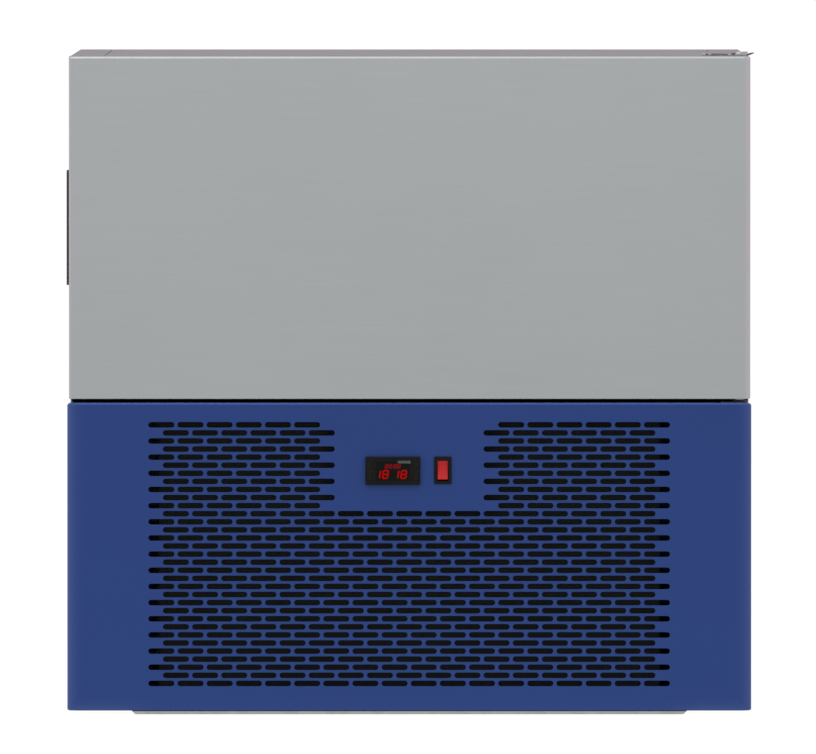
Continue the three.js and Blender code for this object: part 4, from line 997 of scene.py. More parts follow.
grip()
detail("door_foam", FOAM, 0.8, 2, slot="foam")
for part in ("upper_hinge_bush", "lower_hinge_bush"):
    detail(part, WHITE, 0.35, 2, slot="white_plastic")


# ------------------------------------------------------------------ hinges
def hinge_set():
    bx, by = 385.4, -370.0
    end = [(bx + 17.9 * cos(pi + pi * i / 24), by + 17.9 * sin(pi + pi * i / 24)) for i in range(25)]
    slant = [(x, -322 - (x - 343) * 23 / 24.5) for x in (347.3, 349.9, 353.6)]
    out = [(343, -285), (343, -322)] + slant + [(367.5, -345)] + end + [(403.2, -356), (396.5, -340), (396.5, -285)]
    holes = [circle(bx, by, 2.95, 28), circle(349.6, -303, 2.6, 20), circle(378.7, -303, 2.6, 20)]
    b = bmesh.new()
    z0, z1 = 770.3, 772.5
    lo, hi = holed_plate(out, holes, z0, xy), holed_plate(out, holes, z1, xy)
    p = Builder()
    p.add(lo.v, lo.f)
    p.add(hi.v, hi.f)
    for loop in [out, *holes]:
        p.loft([xy(loop, z0), xy(loop, 771.1), xy(loop, z1)])
    append_builder(b, p)
    bmesh.ops.remove_doubles(b, verts=b.verts, dist=0.003 * MM)
    bmesh.ops.recalc_face_normals(b, faces=b.faces)
    # upright faces that do not face back are coloured dark within these X spans: over the upper part of the edge, and
    # over its whole height near the plate's ends
    dark_edge_spans = ((347.3, 349.9), (353.6, 372.2), (376.2, 381.6), (394.5, 404.0))
    for f in b.faces:
        c = f.calc_center_median() / MM
        f.material_index = 1 if abs(f.normal.z) < 0.5 and (c.z > 771.1 or c.x > 394.5 or c.x < 350.0) and any(lo <= c.x <= hi for lo, hi in dark_edge_spans) and f.normal.y < 0.2 else 0
    bmesh.ops.dissolve_limit(b, angle_limit=radians(0.5), verts=b.verts, edges=b.edges, delimit={"MATERIAL"})
    edges = [e for e in b.edges if len(e.link_faces) == 2 and e.calc_face_angle(0.0) > radians(50)]
    bmesh.ops.bevel(b, geom=edges, offset=0.25 * MM, offset_type="OFFSET", segments=2, profile=0.5, affect="EDGES", clamp_overlap=True)
    # the outer tip is bent up a little
    bmesh.ops.bisect_plane(b, geom=b.verts[:] + b.edges[:] + b.faces[:], dist=1e-7, plane_co=(0.3965, 0, 0), plane_no=(1, 0, 0))
    for v in b.verts:
        if v.co.x > 0.3966:
            t, z = min(1.0, (v.co.x - 0.3965) / 0.0066), v.co.z / MM
            v.co.z += (2.5 * t if z < 770.9 else 1.9 * t if z < 772.0 else 1.1 + 0.5 * t) * MM
    # upturned stop tab with a rolled foot
    tab = Builder()
    loops = []
    for y, z in ((-334.9, 772.2), (-334.8, 773.0), (-334.8, 774.4), (-335.1, 774.8), (-336.7, 774.8), (-337.0, 774.4), (-337.0, 773.2), (-337.5, 772.5), (-339.0, 772.3), (-339.0, 771.6), (-335.0, 771.6)):
        loops.append([(390.0, y, z), (390.4, y, z), (396.1, y, z), (396.5, y, z)])
    tab.loft(loops, closed=False, ring=True)
    n = len(loops)
    tab.add([q[0] for q in loops], [list(range(n))])
    tab.add([q[3] for q in loops], [list(range(n))[::-1]])
    tab.m = [2] * len(tab.f)
    append_builder(b, tab)
    finish_bm("upper_hinge_plate_piece", b, [HINGE, HINGE_DARK_EDGE, TAB_STEEL], "cabinet", ("upper_hinge_plate",), 40.0, 0)

    # pin: shouldered shaft with a riveted bright head
    pin = Builder()
    pin.lathe([(0.0, 742.0), (3.2, 742.1), (4.0, 743.2), (4.0, 769.6), (3.7, 770.0), (2.6, 770.0), (2.6, 773.7), (2.5, 774.1), (2.1, 774.45), (1.2, 774.6), (0.0, 774.6)], "z", (bx, by, 0), 36)
    pin.make("upper_hinge_pin_piece", SCREW, "cabinet", "upper_hinge_pin", slot="hinge_steel", sharp=30)

    for i, (sx, sy) in enumerate(((349.6, -303), (378.7, -303))):
        s = Builder()
        hexa = [xy(circle(sx, sy, 1.15 / cos(pi / 6), 6), z) for z in (772.9, 773.62)]
        s.loft(hexa, True, False)
        s.lathe(
            [(1.33, 773.62), (1.9, 773.6), (2.6, 773.5), (3.1, 773.25), (3.35, 772.95), (3.3, 772.8), (2.3, 772.8), (2.3, 758.0), (1.6, 757.0), (0.0, 757.0)],
            "z", (sx, sy, 0), 32,
        )
        s.make(f"upper_hinge_screw_{i + 1}_piece", HINGE, "cabinet", f"upper_hinge_screw_{i + 1}", slot="hinge_steel", sharp=35)
    rivet = Builder()
    rivet.lathe([(0.0, 773.75), (1.5, 773.7), (2.3, 773.35), (2.75, 772.8), (2.8, 772.35), (0.0, 772.3)], "z", (378.9, -380.6, 0), 28)
    rivet.make("upper_hinge_rivet", BLACK_SCREW, "cabinet", slot="hinge_steel", sharp=40)
    # the lower hinge plate takes the near-black painted-shade colour
    detail("lower_hinge_plate", LOWER_HINGE_SHADE, 0.4, 2, slot="hinge_steel")
    low = Builder()
    low.lathe([(0.0, 365.2), (3.6, 365.2), (4.0, 365.6), (4.0, 394.0), (3.2, 394.9), (0.0, 395.0)], "z", (bx, by, 0), 32)
    low.lathe([(4.3, 368.0), (7.2, 368.0), (7.45, 368.2), (7.45, 368.5), (7.2, 368.7), (4.3, 368.7)], "z", (bx, by, 0), 32)
    low.make("lower_hinge_pin_piece", SCREW, "cabinet", "lower_hinge_pin", slot="hinge_steel", sharp=35)


hinge_set()


# ------------------------------------------------------------------ cabinet shell
def bent(points, r_out, t, seg=5):
    """The outline of a bent sheet: points are its outer corners, t its thickness to the left of the path."""
    def offset_path(d, r):
        out = []
        n = len(points)
        pts = [Vector(p) for p in points]
        for i, p in enumerate(pts):
            if i in (0, n - 1):
                a, b = (pts[0], pts[1]) if i == 0 else (pts[-2], pts[-1])
                dr = (b - a).normalized()
                out.append(p + Vector((-dr.y, dr.x)) * d)
                continue
            d1 = (p - pts[i - 1]).normalized()
            d2 = (pts[i + 1] - p).normalized()
            n1, n2 = Vector((-d1.y, d1.x)), Vector((-d2.y, d2.x))
            turn = d1.x * d2.y - d1.y * d2.x
            centre = p - d1 * r_out + n1 * (r_out if turn > 0 else -r_out)
            rad = r_out - d if turn > 0 else r_out + d
            a0 = math.atan2(*((-n1) if turn > 0 else n1).yx)
            a1 = math.atan2(*((-n2) if turn > 0 else n2).yx)
            while a1 - a0 > pi:
                a1 -= 2 * pi
            while a1 - a0 < -pi:
                a1 += 2 * pi
            for k in range(seg + 1):
                a = a0 + (a1 - a0) * k / seg
                out.append(centre + Vector((cos(a), sin(a))) * rad)
        return out

    outer = offset_path(0.0, r_out)
    inner = offset_path(t, r_out)
    return [(p.x, p.y) for p in outer] + [(p.x, p.y) for p in inner[::-1]]


def side_skins():
    for s, nm in ((-1, "left"), (1, "right")):
        pts = [(377.0, 8.0), (397.0, 8.0), (397.0, 770.0), (357.0, 770.0)]
        out = bent(pts, 1.5, 1.2)
        # the fold's rear corner is nipped off
        nip = bent(pts[:3] + [(359.6, 770.0)], 1.5, 1.2)
        out, nip = [(s * u, v) for u, v in out], [(s * u, v) for u, v in nip]
        if s < 0:
            out, nip = out[::-1], nip[::-1]
        b = Builder()
        b.loft([xz(out, -330.0), xz(out, 389.0), xz(nip, 392.0), xz(nip, 395.0)], True, True)
        b.make(f"side_skin_{nm}", STEEL_CAB, "cabinet", f"side_panel_{nm}", slot="door_steel", sharp=30)


side_skins()


def top_skin():
    pts = [(-330.0, 770.0), (395.0, 770.0), (395.0, 744.3)]
    out = bent([(p[0], p[1]) for p in pts], 2.4, -1.2)
    b = Builder()
    b.loft([yz(out, -356.0), yz(out, 356.0)], True, True)
    return b.make("top_skin", STEEL_CAB, "cabinet", "top_panel", slot="door_steel", sharp=30)


top_skin()


def roof_seams():
    """Near-black strips under the slits between the top panel and the side folds: painted shade in the slits."""
    b = Builder()
    for s in (-1, 1):
        x0, x1 = sorted((s * 354.6, s * 358.6))
        b.bar(x0, x1, -329.0, 388.0, 767.9, 768.75, 0.15)
    b.make("roof_seam_painted_shade", SHADE_BLACK, "cabinet", slot="filter_black", sharp=30)


roof_seams()


def mouth_frame():
    loops = []
    for x, z0, z1, r, y in (
        (395.5, 368.0, 768.5, 1.6, -328.0),
        (395.5, 368.0, 768.5, 1.6, -329.7),
        (395.2, 368.3, 768.2, 1.5, -330.0),
        (341.4, 419.6, 720.4, 21.4, -330.0),
        (340.4, 420.6, 719.4, 20.4, -329.7),
        (340.0, 421.0, 719.0, 20.0, -328.8),
        (340.0, 421.0, 719.0, 20.0, -328.0),
    ):
        loops.append(xz(rr(-x, x, z0, z1, r, 10), y))
    return Builder().loft(loops, ring=True).make("mouth_frame", STEEL_IN, "cabinet", "front_frame", slot="inner_steel", sharp=40)


mouth_frame()


def chamber():
    loops = []
    x, z0, z1 = 340.0, 421.0, 719.0
    for inset, r, y in (
        (0, 20, -327.7), (0, 20, -200), (0, 20, 0), (0, 20, 200), (0, 20, 318), (1.2, 19, 323.5), (4.0, 17, 328.0), (8.5, 13, 330.0), (60, 10, 330.0),
    ):
        loops.append(xz(rr(-x + inset, x - inset, z0 + inset, z1 - inset, r, 10), y))
    b = Builder().loft(loops, False, True)
    o = b.make("chamber_shell", STEEL_IN, "cabinet", "chamber_liner", slot="inner_steel", sharp=40)
    bm = bmesh.new()
    bm.from_mesh(o.data)
    back = max(bm.faces, key=lambda f: f.calc_center_median().y)
    if back.normal.y > 0:
        bmesh.ops.reverse_faces(bm, faces=bm.faces)
    bm.to_mesh(o.data)
    bm.free()
    return solidify(o, 1.1)


chamber()
detail("cabinet_foam", FOAM, 0.8, 2, slot="foam")
detail("mid_deck", ZINC, 0.3, 2, slot="zinc_sheet")
detail("base_pan", ZINC, 0.5, 3, slot="zinc_sheet")
for side in ("left", "right"):
    detail(f"tray_guide_{side}", STEEL_IN, 0.35, 2, slot="inner_steel")
detail("probe_holder", STEEL_IN, 0.5, 2, slot="inner_steel")


def pan_screw(b, c, direction, r=3.6, mat=1):
    """A pan head with a round dip in place of its cross recess, axis along Y."""
    x, y, z = c
    s = direction
    b.lathe(
        [(0.0, s * 0.9), (0.8, s * 1.0), (1.2, s * 1.9), (r * 0.62, s * 2.0), (r * 0.88, s * 1.6), (r, s * 0.9), (r, s * 0.05), (r * 0.9, s * -0.02)],
        "y", (x, y, z), 24, mat,
    )


def rear_panels():
    b = Builder()
    for x in (-372, -186, 0, 186, 372):
        for z in (388, 722):
            pan_screw(b, (x, 395.0, z), 1)
    detail("rear_upper_panel", ZINC, 0.3, 2, slot="zinc_sheet", extra=b, extra_mats=(SCREW,))
    # lower panel: flat sheet with pressed louvre hoods over its openings
    b = Builder()
    for x in (-372, -186, 0, 186, 372):
        for z in (24, 350):
            pan_screw(b, (x, 395.0, z), 1)
    for cx in (-190.0, 60.0):
        for i in range(12):
            cz = 100.0 + i * 18.0
            loops = []
            for k in range(9):
                t = k / 8.0
                a = t * pi / 2
                # hood: rises from the sheet above the opening and reaches out over it
                zc = cz + 5.2 - 7.2 * sin(a)
                yc = 395.0 + 4.2 * (1 - cos(a))
                w = 92.0 - 1.5 * t
                loops.append([(cx - w, yc, zc), (cx - w * 0.985, yc + 0.9, zc), (cx + w * 0.985, yc + 0.9, zc), (cx + w, yc, zc)])
            b.loft(loops, False, False, 0, closed=False)
    detail("rear_lower_panel", ZINC, 0.0, 2, slot="zinc_sheet", extra=b, extra_mats=(SCREW,))


rear_panels()


# ------------------------------------------------------------------ chamber fittings
def baffle():
    y0, y1, x, z0, z1, fz = 128.0, 150.0, 300.0, 424.0, 716.0, 570.0
    b, (fx0, fx1, fz0, fz1) = folded_box(-x, x, y0, y1, z0, z1, 3.0, 3.0, 3.0, cut_bottom=False)
    holes = [circle(0, fz, 118.0, 72)]
    for s in (-1, 1):
        for i in range(9):
            cz = fz + (i - 4) * 26
            holes.append(rr(s * 215 - 45, s * 215 + 45, cz - 4, cz + 4, 3.98, 6))
    append_builder(b, holed_plate([(fx0, fz0), (fx1, fz0), (fx1, fz1), (fx0, fz1)], holes, y0))
    mend_sheet(b)
    o = finish_bm("air_baffle_piece", b, STEEL_IN, "cabinet", ("air_baffle",), 40.0, 0, False)
    bm = bmesh.new()
    bm.from_mesh(o.data)
    big = max((f for f in bm.faces if abs(f.normal.y) > 0.9), key=lambda f: f.calc_area())
    if big.normal.y > 0:
        bmesh.ops.reverse_faces(bm, faces=bm.faces)
    bm.to_mesh(o.data)
    bm.free()
    return solidify(o, 1.2)


baffle()


def guard():
    b = Builder()
    y, fz = 117.2, 570.0
    for r in (22, 34, 46, 58, 70, 82, 94, 106, 118):
        b.tube([(r * cos(2 * pi * i / 72), y - 1.6, fz + r * sin(2 * pi * i / 72)) for i in range(72)], 1.15, 8, closed=True)
    for k in range(8):
        a = pi / 8 + k * pi / 4
        p0, p1 = 12, 119
        b.tube([(p0 * cos(a), y + 0.6, fz + p0 * sin(a)), (p1 * cos(a), y + 0.6, fz + p1 * sin(a))], 1.2, 8)
    b.lathe([(0.0, -3.2), (11.0, -3.2), (14.0, -1.6), (14.0, 1.2), (11.0, 1.8), (0.0, 1.8)], "y", (0, y, fz), 32)
    for k in range(4):
        a = k * pi / 2
        c = Vector((124 * cos(a), 0, 124 * sin(a)))
        b.tube([(118 * cos(a), y - 1.0, fz + 118 * sin(a)), (c.x, y + 2, fz + c.z), (c.x, 127.6, fz + c.z)], 1.4, 8)
        b.lathe([(0.0, 125.9), (5.0, 125.9), (5.4, 126.3), (5.4, 127.7), (0.0, 127.7)], "y", (c.x, 0, fz + c.z), 24)
    return b.make("fan_guard_wires", STEEL_IN, "cabinet", "evaporator_fan_guard", slot="inner_steel", sharp=40)


guard()


def fan(name, node, body, mat, slot, cx, cz, y0, y1, hub, tip, blades, pitch, chord, bore_back=True):
    b = Builder()
    mid = (y0 + y1) / 2
    b.lathe(
        [(0.0, y0), (hub * 0.35, y0), (hub * 0.8, y0 + 0.9), (hub - 0.6, y0 + 3.0), (hub, y0 + 5.5), (hub, y1 - 0.8), (hub - 0.8, y1),
         (5.2, y1), (4.6, y1 - 0.5), (4.5, y1 - 13.8), (0.0, y1 - 13.9)],
        "y", (cx, 0, cz), 48,
    )
    for k in range(blades):
        base = 2 * pi * k / blades
        rows = 10
        cols = 9
        front, back = [], []
        for i in range(rows + 1):
            t = i / rows
            r = hub - 2.0 + (tip - hub + 2.0) * t
            half = chord * (0.30 + 0.24 * sin(pi * min(1.0, t * 0.9)) - 0.05 * t)
            sweep = 0.20 * t * t
            ang = radians(pitch + 12 * (1 - t))
            lf, lb = [], []
            for j in range(cols + 1):
                u = -1 + 2 * j / cols
                s = u * half
                camber = 2.6 * (1 - u * u)
                yy = s * sin(ang) + camber
                tt = s * cos(ang)
                a = base + sweep + tt / max(r, 1.0)
                rad = r
                th = 0.9 * (1 - 0.55 * abs(u) ** 3)
                lf.append((cx + rad * cos(a), mid + yy - th, cz + rad * sin(a)))
                lb.append((cx + rad * cos(a), mid + yy + th, cz + rad * sin(a)))
            front.append(lf + lb[::-1])
        b.loft(front, True, True)
    o = b.make(name, mat, body, node, slot=slot, sharp=45)
    lo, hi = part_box(node)
    return o, (lo, hi)


fan("evaporator_fan_wheel", "evaporator_fan_rotor", "evaporator_fan", WHITE, "white_plastic", 0, 570, 136, 160, 27, 109.5, 5, 22, 46)
fan("condenser_fan_wheel", "condenser_fan_rotor", "condenser_fan", FANBLACK, "machine_black", -65, 177, -221, -197, 30, 113.5, 5, 20, 48)


def motors():
    b = Builder()
    c = (0, 0, 570)
    b.lathe([(0.0, 166.0), (24.0, 166.0), (26.5, 166.8), (33.0, 170.6), (34.0, 172.0), (34.0, 177.5), (33.2, 178.0), (33.2, 179.0), (34.0, 179.5),
             (34.0, 195.0), (32.8, 197.4), (28.0, 199.9), (0.0, 200.0)], "y", c, 48)
    b.lathe([(0.0, 148.0), (3.6, 148.0), (4.0, 148.5), (4.0, 166.5)], "y", c, 24)
    for k in range(4):
        a = pi / 4 + k * pi / 2
        b.tube([(29 * cos(a), 168.5, 570 + 29 * sin(a)), (29 * cos(a), 198.5, 570 + 29 * sin(a))], 1.6, 10)
    b.make("evaporator_motor_piece", ENAMEL, "cabinet", "evaporator_fan_motor", slot="machine_black", sharp=35)
    detail("evaporator_motor_bracket", ZINC, 0.6, 2, slot="zinc_sheet")
    detail("condenser_fan_motor", ENAMEL, 0.8, 3, slot="machine_black", sharp=40)
    detail("condenser_shroud", ENAMEL, 0.5, 2, slot="machine_black", sharp=40)


motors()


def coil(name, node, x0, x1, y0, y1, z0, z1, rows, pitch, columns=2):
    b = Builder()
    n = int((x1 - x0 - 4) / pitch)
    for i in range(n + 1):
        x = x0 + 2 + i * pitch
        pts = []
        waves = 6
        # a fin: a thin sheet with a flat face
        t = 0.12
        front = [(x - t, y0 + 0.4, z0 + 1.5), (x + t, y0 + 0.4, z0 + 1.5), (x + t, y1 - 0.4, z0 + 1.5), (x - t, y1 - 0.4, z0 + 1.5)]
        b.loft([front, [(p[0], p[1], z1 - 1.5) for p in front]], True, True, 0)
    for x in (x0 - 2.0, x1 + 0.2):
        b.bar(x, x + 1.8, y0, y1, z0, z1, 0.3, 1)
    step = (z1 - z0) / rows
    cy = (y0 + y1) / 2
    half = min(13.0, (y1 - y0) / 4)
    for i in range(rows):
        cz = z0 + step * (i + 0.5)
        for s in (-1, 1):
            b.tube([(x0 - 1.0, cy + s * half, cz), (x1 + 2.0, cy + s * half, cz)], 3.9, 12, 2, caps=False)
        b.tube(
            smooth_path([(x1 + 1, cy - half, cz), (x1 + 6, cy - half, cz), (x1 + 13, cy - half * 0.62, cz), (x1 + 16, cy, cz),
                         (x1 + 13, cy + half * 0.62, cz), (x1 + 6, cy + half, cz), (x1 + 1, cy + half, cz)], 36),
            3.9, 12, 2,
        )
    return b.make(name, [FIN, ZINC, COPPER], "cabinet", node, slot="fin_aluminium", sharp=35)


coil("evaporator_coil_piece", "evaporator_coil", -250, 215, 215, 300, 440, 700, 6, 4.0)
coil("condenser_coil_piece", "condenser_coil", -250, 120, -325, -265, 12, 332, 7, 2.6)


# ------------------------------------------------------------------ machine bay
def compressor():
    b = Builder()
    c = (190, 100, 0)
    b.lathe(
        [(0.0, 12), (60, 12), (74, 13), (82, 19), (86.5, 28), (89, 44), (90, 60), (90, 107.5), (90.6, 110.2), (93.6, 111.6), (94.8, 113),
         (94.8, 118), (93.6, 119.6), (90.2, 120.6), (89, 124), (88.4, 150), (87.4, 172), (83.5, 191), (76, 206), (62, 217.5), (44, 224.4), (20, 227.5), (0.0, 228)],
        "z", c, 72,
    )
    b.bar(95, 285, 15, 185, 1.9, 5.4, 0.8)
    b.bar(105, 275, 60, 140, 5.0, 19.5, 3.0)
    b.bar(158, 222, -7.9, 30, 92, 150, 3.0, 0)
    for sx in (108, 272):
        for sy in (28, 172):
            b.lathe([(11.0, 5.2), (12.0, 6.2), (12.0, 9.0), (9.5, 9.8), (9.5, 11.6), (12.0, 12.4), (12.0, 15.0), (11.0, 16.0), (5.0, 16.2), (0.0, 16.2)], "z", (sx, sy, 0), 32, 1)
    b.tube([(190 - 80.5, 100 - 18, 118), (190 - 88.5, 100 - 20, 118)], 4.8, 16, 2)
    return b.make("compressor_piece", [ENAMEL, RUBBER, COPPER], "cabinet", "compressor", slot="machine_black", sharp=35)


compressor()

PIPES = {
    "discharge_pipe": (
        [(128.5, 37, 190), (117, 22, 212), (117, -14, 280), (148, -120, 302), (156, -240, 298), (148, -290, 288), (123.5, -298, 286)], 4.7, 96),
    "suction_pipe": (
        [(217.5, 250, 484), (244, 250, 484), (261, 254, 468), (264, 256, 420), (264, 256, 330), (264, 250, 220), (258, 225, 170), (240.5, 183, 150)], 5.9, 96),
    "liquid_pipe": (
        [(123.5, -295, 57.5), (180, -292, 57.5), (290, -270, 60), (322, -220, 64), (326, -170, 70), (326, -112, 70)], 4.7, 80),
    "capillary_tube": (
        [(326, 2, 70), (326, 60, 74), (324, 160, 110), (300, 240, 200), (281, 268, 290), (280, 271, 380), (280, 271, 440), (268, 272, 520), (240, 272, 560), (219, 272, 566)], 2.1, 120),
}
for node, (pts, r, steps) in PIPES.items():
    Builder().tube(smooth_path(pts, steps), r, 16).make(node + "_piece", COPPER, "cabinet", node, slot="copper", sharp=40)

Builder().lathe(
    [(0.0, -110), (4.2, -110), (4.8, -109), (5.0, -107), (8.0, -103.5), (14.0, -98.5), (15.8, -95), (16.0, -92), (16.0, -18), (15.8, -15), (14.0, -11.5),
     (8.0, -6.5), (5.0, -3), (4.8, -1), (4.2, 0), (0.0, 0)],
    "y", (326, 0, 70), 40,
).make("filter_drier_piece", COPPER, "cabinet", "filter_drier", slot="copper", sharp=35)

detail("drain_tube", WHITE, 0.4, 2, slot="white_plastic", sharp=40)
detail("condensate_tray", WHITE, 0.7, 3, slot="white_plastic", sharp=40)


def electrics():
    b = Builder()
    for x in (182, 360):
        for z in (191, 339):
            pan_screw(b, (x, -256.0, z), 1, 3.2)
    detail("electrical_box", BOX, 1.2, 3, slot="black_plastic", extra=b, extra_mats=(SCREW,), sharp=40)


electrics()


def gland():
    b = Builder()
    gx, gz = 320.0, 60.0
    prof = [(r / cos(pi / 6), y) for r, y in ((11.2, 395.3), (12.3, 395.9), (12.3, 401.2), (11.6, 402.0))]
    hexa = []
    for r, y in ((10.2, 395.3), (10.8, 395.8), (10.8, 401.4), (10.3, 402.0)):
        hexa.append(xz(circle(gx, gz, r / cos(pi / 6), 6), y))
    b.loft(hexa, False, False)
    b.lathe(
        [(4.5, 384.0), (8.0, 384.0), (8.0, 395.4), (10.4, 395.6), (10.4, 401.9), (9.9, 402.3), (10.4, 402.9), (10.4, 405.6), (9.6, 407.2), (7.4, 409.4), (6.6, 410.0), (5.0, 410.0), (4.5, 409.4), (4.5, 384.0)],
        "y", (gx, 0, gz), 36,
    )
    return b.make("cable_gland_piece", BLACK, "cabinet", "cable_gland", slot="black_plastic", sharp=32)


gland()


def probe():
    b = Builder()
    c = (326, -309, 0)
    b.lathe([(0.0, 463), (0.5, 464), (1.9, 472), (2.0, 474), (2.0, 593.4)], "z", c, 24, 0)
    b.lathe(
        [(2.0, 593.3), (5.6, 593.3), (6.5, 594.0), (6.6, 597.0), (6.2, 598.0), (6.6, 599.0), (7.0, 603.0), (7.0, 612.0), (6.6, 613.0), (7.0, 614.0), (7.0, 622.0), (6.6, 623.0), (7.0, 624.0),
         (7.0, 632.0), (6.6, 633.0), (7.0, 634.0), (6.9, 652.0), (6.2, 659.0), (4.6, 663.2), (2.0, 664.0), (0.0, 664.0)],
        "z", c, 32, 1,
    )
    return b.make("core_probe_piece", [STEEL_IN, BLACK], "probe", "core_probe", slot="black_plastic", sharp=40)


probe()


# ------------------------------------------------------------------ filter behind the slots
def filter_parts():
    def outline(i):
        return [(-293 + i, 28 + i), (293 - i, 28 + i), (293 - i, 346 - i), (84 + i, 346 - i), (84 + i, 246 - i), (-84 - i, 246 - i), (-84 - i, 346 - i), (-293 + i, 346 - i)]

    b = Builder()
    o, p = outline(0), outline(9)
    loops = [xz(o, -383), xz(o, -392.4), xz(outline(0.6), -393), xz(outline(8.4), -393), xz(p, -392.4), xz(p, -383)]
    b.loft(loops, ring=True)
    b.make("filter_frame_piece", MAT_BLACK, "cabinet", "air_filter_frame", slot="filter_black", sharp=30)
    q = outline(9.04)
    b = Builder()
    b.loft([xz(q, -385), xz(q, -391)], True, True)
    b.make("filter_mat_piece", MAT_BLACK, "cabinet", "air_filter_media", slot="filter_black", sharp=30)


filter_parts()


# ------------------------------------------------------------------ controller
def controller():
    x0, x1, z0, z1 = CTRL
    b = Builder()
    loops = []

    def ring(inset, r, y):
        loops.append(xz(rr(x0 + inset, x1 - inset, z0 + inset, z1 - inset, r, 5), y))

    ring(0.15, 1.2, -400.3)
    ring(0.0, 1.3, -400.7)
    ring(0.0, 1.3, -403.9)
    ring(0.25, 1.2, -404.55)
    ring(0.8, 0.9, -404.95)
    b.loft(loops, True, False)
    # front face round the window recess and the key wells
    wx0, wx1, wz0, wz1 = -41.4, 3.0, 271.3, 298.4
    outer = rr(x0 + 0.8, x1 - 0.8, z0 + 0.8, z1 - 0.8, 0.9, 5)
    holes = [rr(wx0, wx1, wz0, wz1, 0.7, 3)]
    keys = [(-46.4, 291.6), (-46.4, 277.9), (7.9, 291.6), (7.9, 277.9)]
    for kx, kz in keys:
        holes.append(rr(kx - 3.3, kx + 3.3, kz - 4.3, kz + 4.3, 0.9, 3))
    face = holed_plate(outer, holes, -404.95)
    b.add(face.v, face.f)
    b.loft([xz(holes[0], -404.95), xz(rr(wx0 + 0.3, wx1 - 0.3, wz0 + 0.3, wz1 - 0.3, 0.5, 3), -404.6), xz(rr(wx0 + 0.3, wx1 - 0.3, wz0 + 0.3, wz1 - 0.3, 0.5, 3), -403.65)], False, True)
    for h in holes[1:]:
        b.loft([xz(h, -404.95), xz(h, -402.2)], False, True)
    # body behind the panel
    loops = []
    for i, y in ((0.0, -400.4), (0.0, -346.0), (1.0, -345.1)):
        loops.append(xz(rr(-48 + i, 9.4 - i, 271 + i, 298.6 - i, 1.5, 4), y))
    b.loft(loops, False, True)
    b.make("controller_bezel", BLACK, "cabinet", "controller_housing", slot="black_plastic", sharp=32)

    # window: a glossy smoked plate with its own soft edge
    w = Builder()
    loops = []
    for i, y in ((0.05, -403.95), (0.05, -404.6), (0.25, -404.8)):
        loops.append(xz(rr(-41.1 + i, 2.7 - i, 271.6 + i, 298.1 - i, 0.6, 4), y))
    w.loft(loops, True, True)
    w.make("display_window", TINT, "cabinet", "controller_window", slot="window_tint", sharp=28)

    # seven-segment figures just over the window
    def digit(bl, cx, cz, w_, h_, t, segs, slant, y0, y1, mat=0):
        hw, hh = w_ / 2, h_ / 2
        g = t * 0.03

        def bar(pts):
            q = [(cx + u + (v) * slant, cz + v) for u, v in pts]
            bl.loft([xz(q, y0), xz(q, y1)], True, True, mat)

        k = t / 2
        H = lambda zc: [(-hw + k + g, zc), (-hw + t + g, zc - k), (hw - t - g, zc - k), (hw - k - g, zc), (hw - t - g, zc + k), (-hw + t + g, zc + k)]
        V = lambda xc, za, zb: [(xc, za + g), (xc + k, za + k + g), (xc + k, zb - k - g), (xc, zb - g), (xc - k, zb - k - g), (xc - k, za + k + g)]
        top, mid, low = hh - k, 0.0, -hh + k
        shapes = {
            "a": H(top), "g": H(mid), "d": H(low),
            "f": V(-hw + k, mid, top), "b": V(hw - k, mid, top),
            "e": V(-hw + k, low, mid), "c": V(hw - k, low, mid), "l": V(hw - k, low, top),
        }
        for s in segs:
            bar(shapes[s])

    d = Builder()
    ya, yb = -404.83, -404.90
    cz, h = 281.1, 10.5
    for cx, w_, segs in ((-36.9, 7.0, "l"), (-27.8, 7.2, "abcdefg"), (-15.6, 7.0, "l"), (-6.5, 7.2, "abcdefg")):
        digit(d, cx, cz, w_, h, 1.45, segs, 0.14, ya, yb)
    d.make("display_figures", LED, "cabinet", slot="red_plastic", sharp=30)
    d = Builder()
    cz, h = 290.6, 5.2
    for cx in (-26.6, -22.3, -16.4, -12.1):
        digit(d, cx, cz, 3.5, h, 0.72, "abcdefg", 0.1, ya, yb)
    for dz in (-1.1, 1.1):
        d.loft([xz(circle(-19.3, cz + dz, 0.45, 12), ya), xz(circle(-19.3, cz + dz, 0.45, 12), yb)], True, True)
    d.make("display_small_figures", LED_DIM, "cabinet", slot="red_plastic", sharp=30)
    # pale status strip at the top right of the window, a little wider at its right end
    d = Builder()
    strip = [(-13.2, 294.1), (1.7, 293.8), (2.1, 297.65), (-13.2, 297.65)]
    d.loft([xz(strip, ya), xz(strip, yb)], True, True)
    d.loft([xz([(-14.4, 294.3), (-13.2, 294.3), (-13.2, 297.65), (-14.4, 297.65)], y) for y in (ya, yb)], True, True, 1)
    d.make("display_status_strip", [PRINT, HAIR], "cabinet", slot="window_tint", sharp=30)
    # printed hairline round the window
    d = Builder()
    ring = [rr(-40.5 + i, 2.1 - i, 272.2 + i, 297.5 - i, 0.6, 3) for i in (0.0, 0.42)]
    d.loft([xz(ring[0], ya), xz(ring[0], yb), xz(ring[1], yb), xz(ring[1], ya)], ring=True)
    d.make("display_hairline", HAIR, "cabinet", slot="window_tint", sharp=30)

    for i, (kx, kz) in enumerate(keys):
        k = Builder()
        loops = []
        for inset, r, y in ((0.0, 1.0, -402.9), (0.0, 1.0, -404.9), (0.25, 0.9, -405.2), (0.8, 0.6, -405.3)):
            loops.append(xz(rr(kx - 3 + inset, kx + 3 - inset, kz - 4 + inset, kz + 4 - inset, r, 5), y))
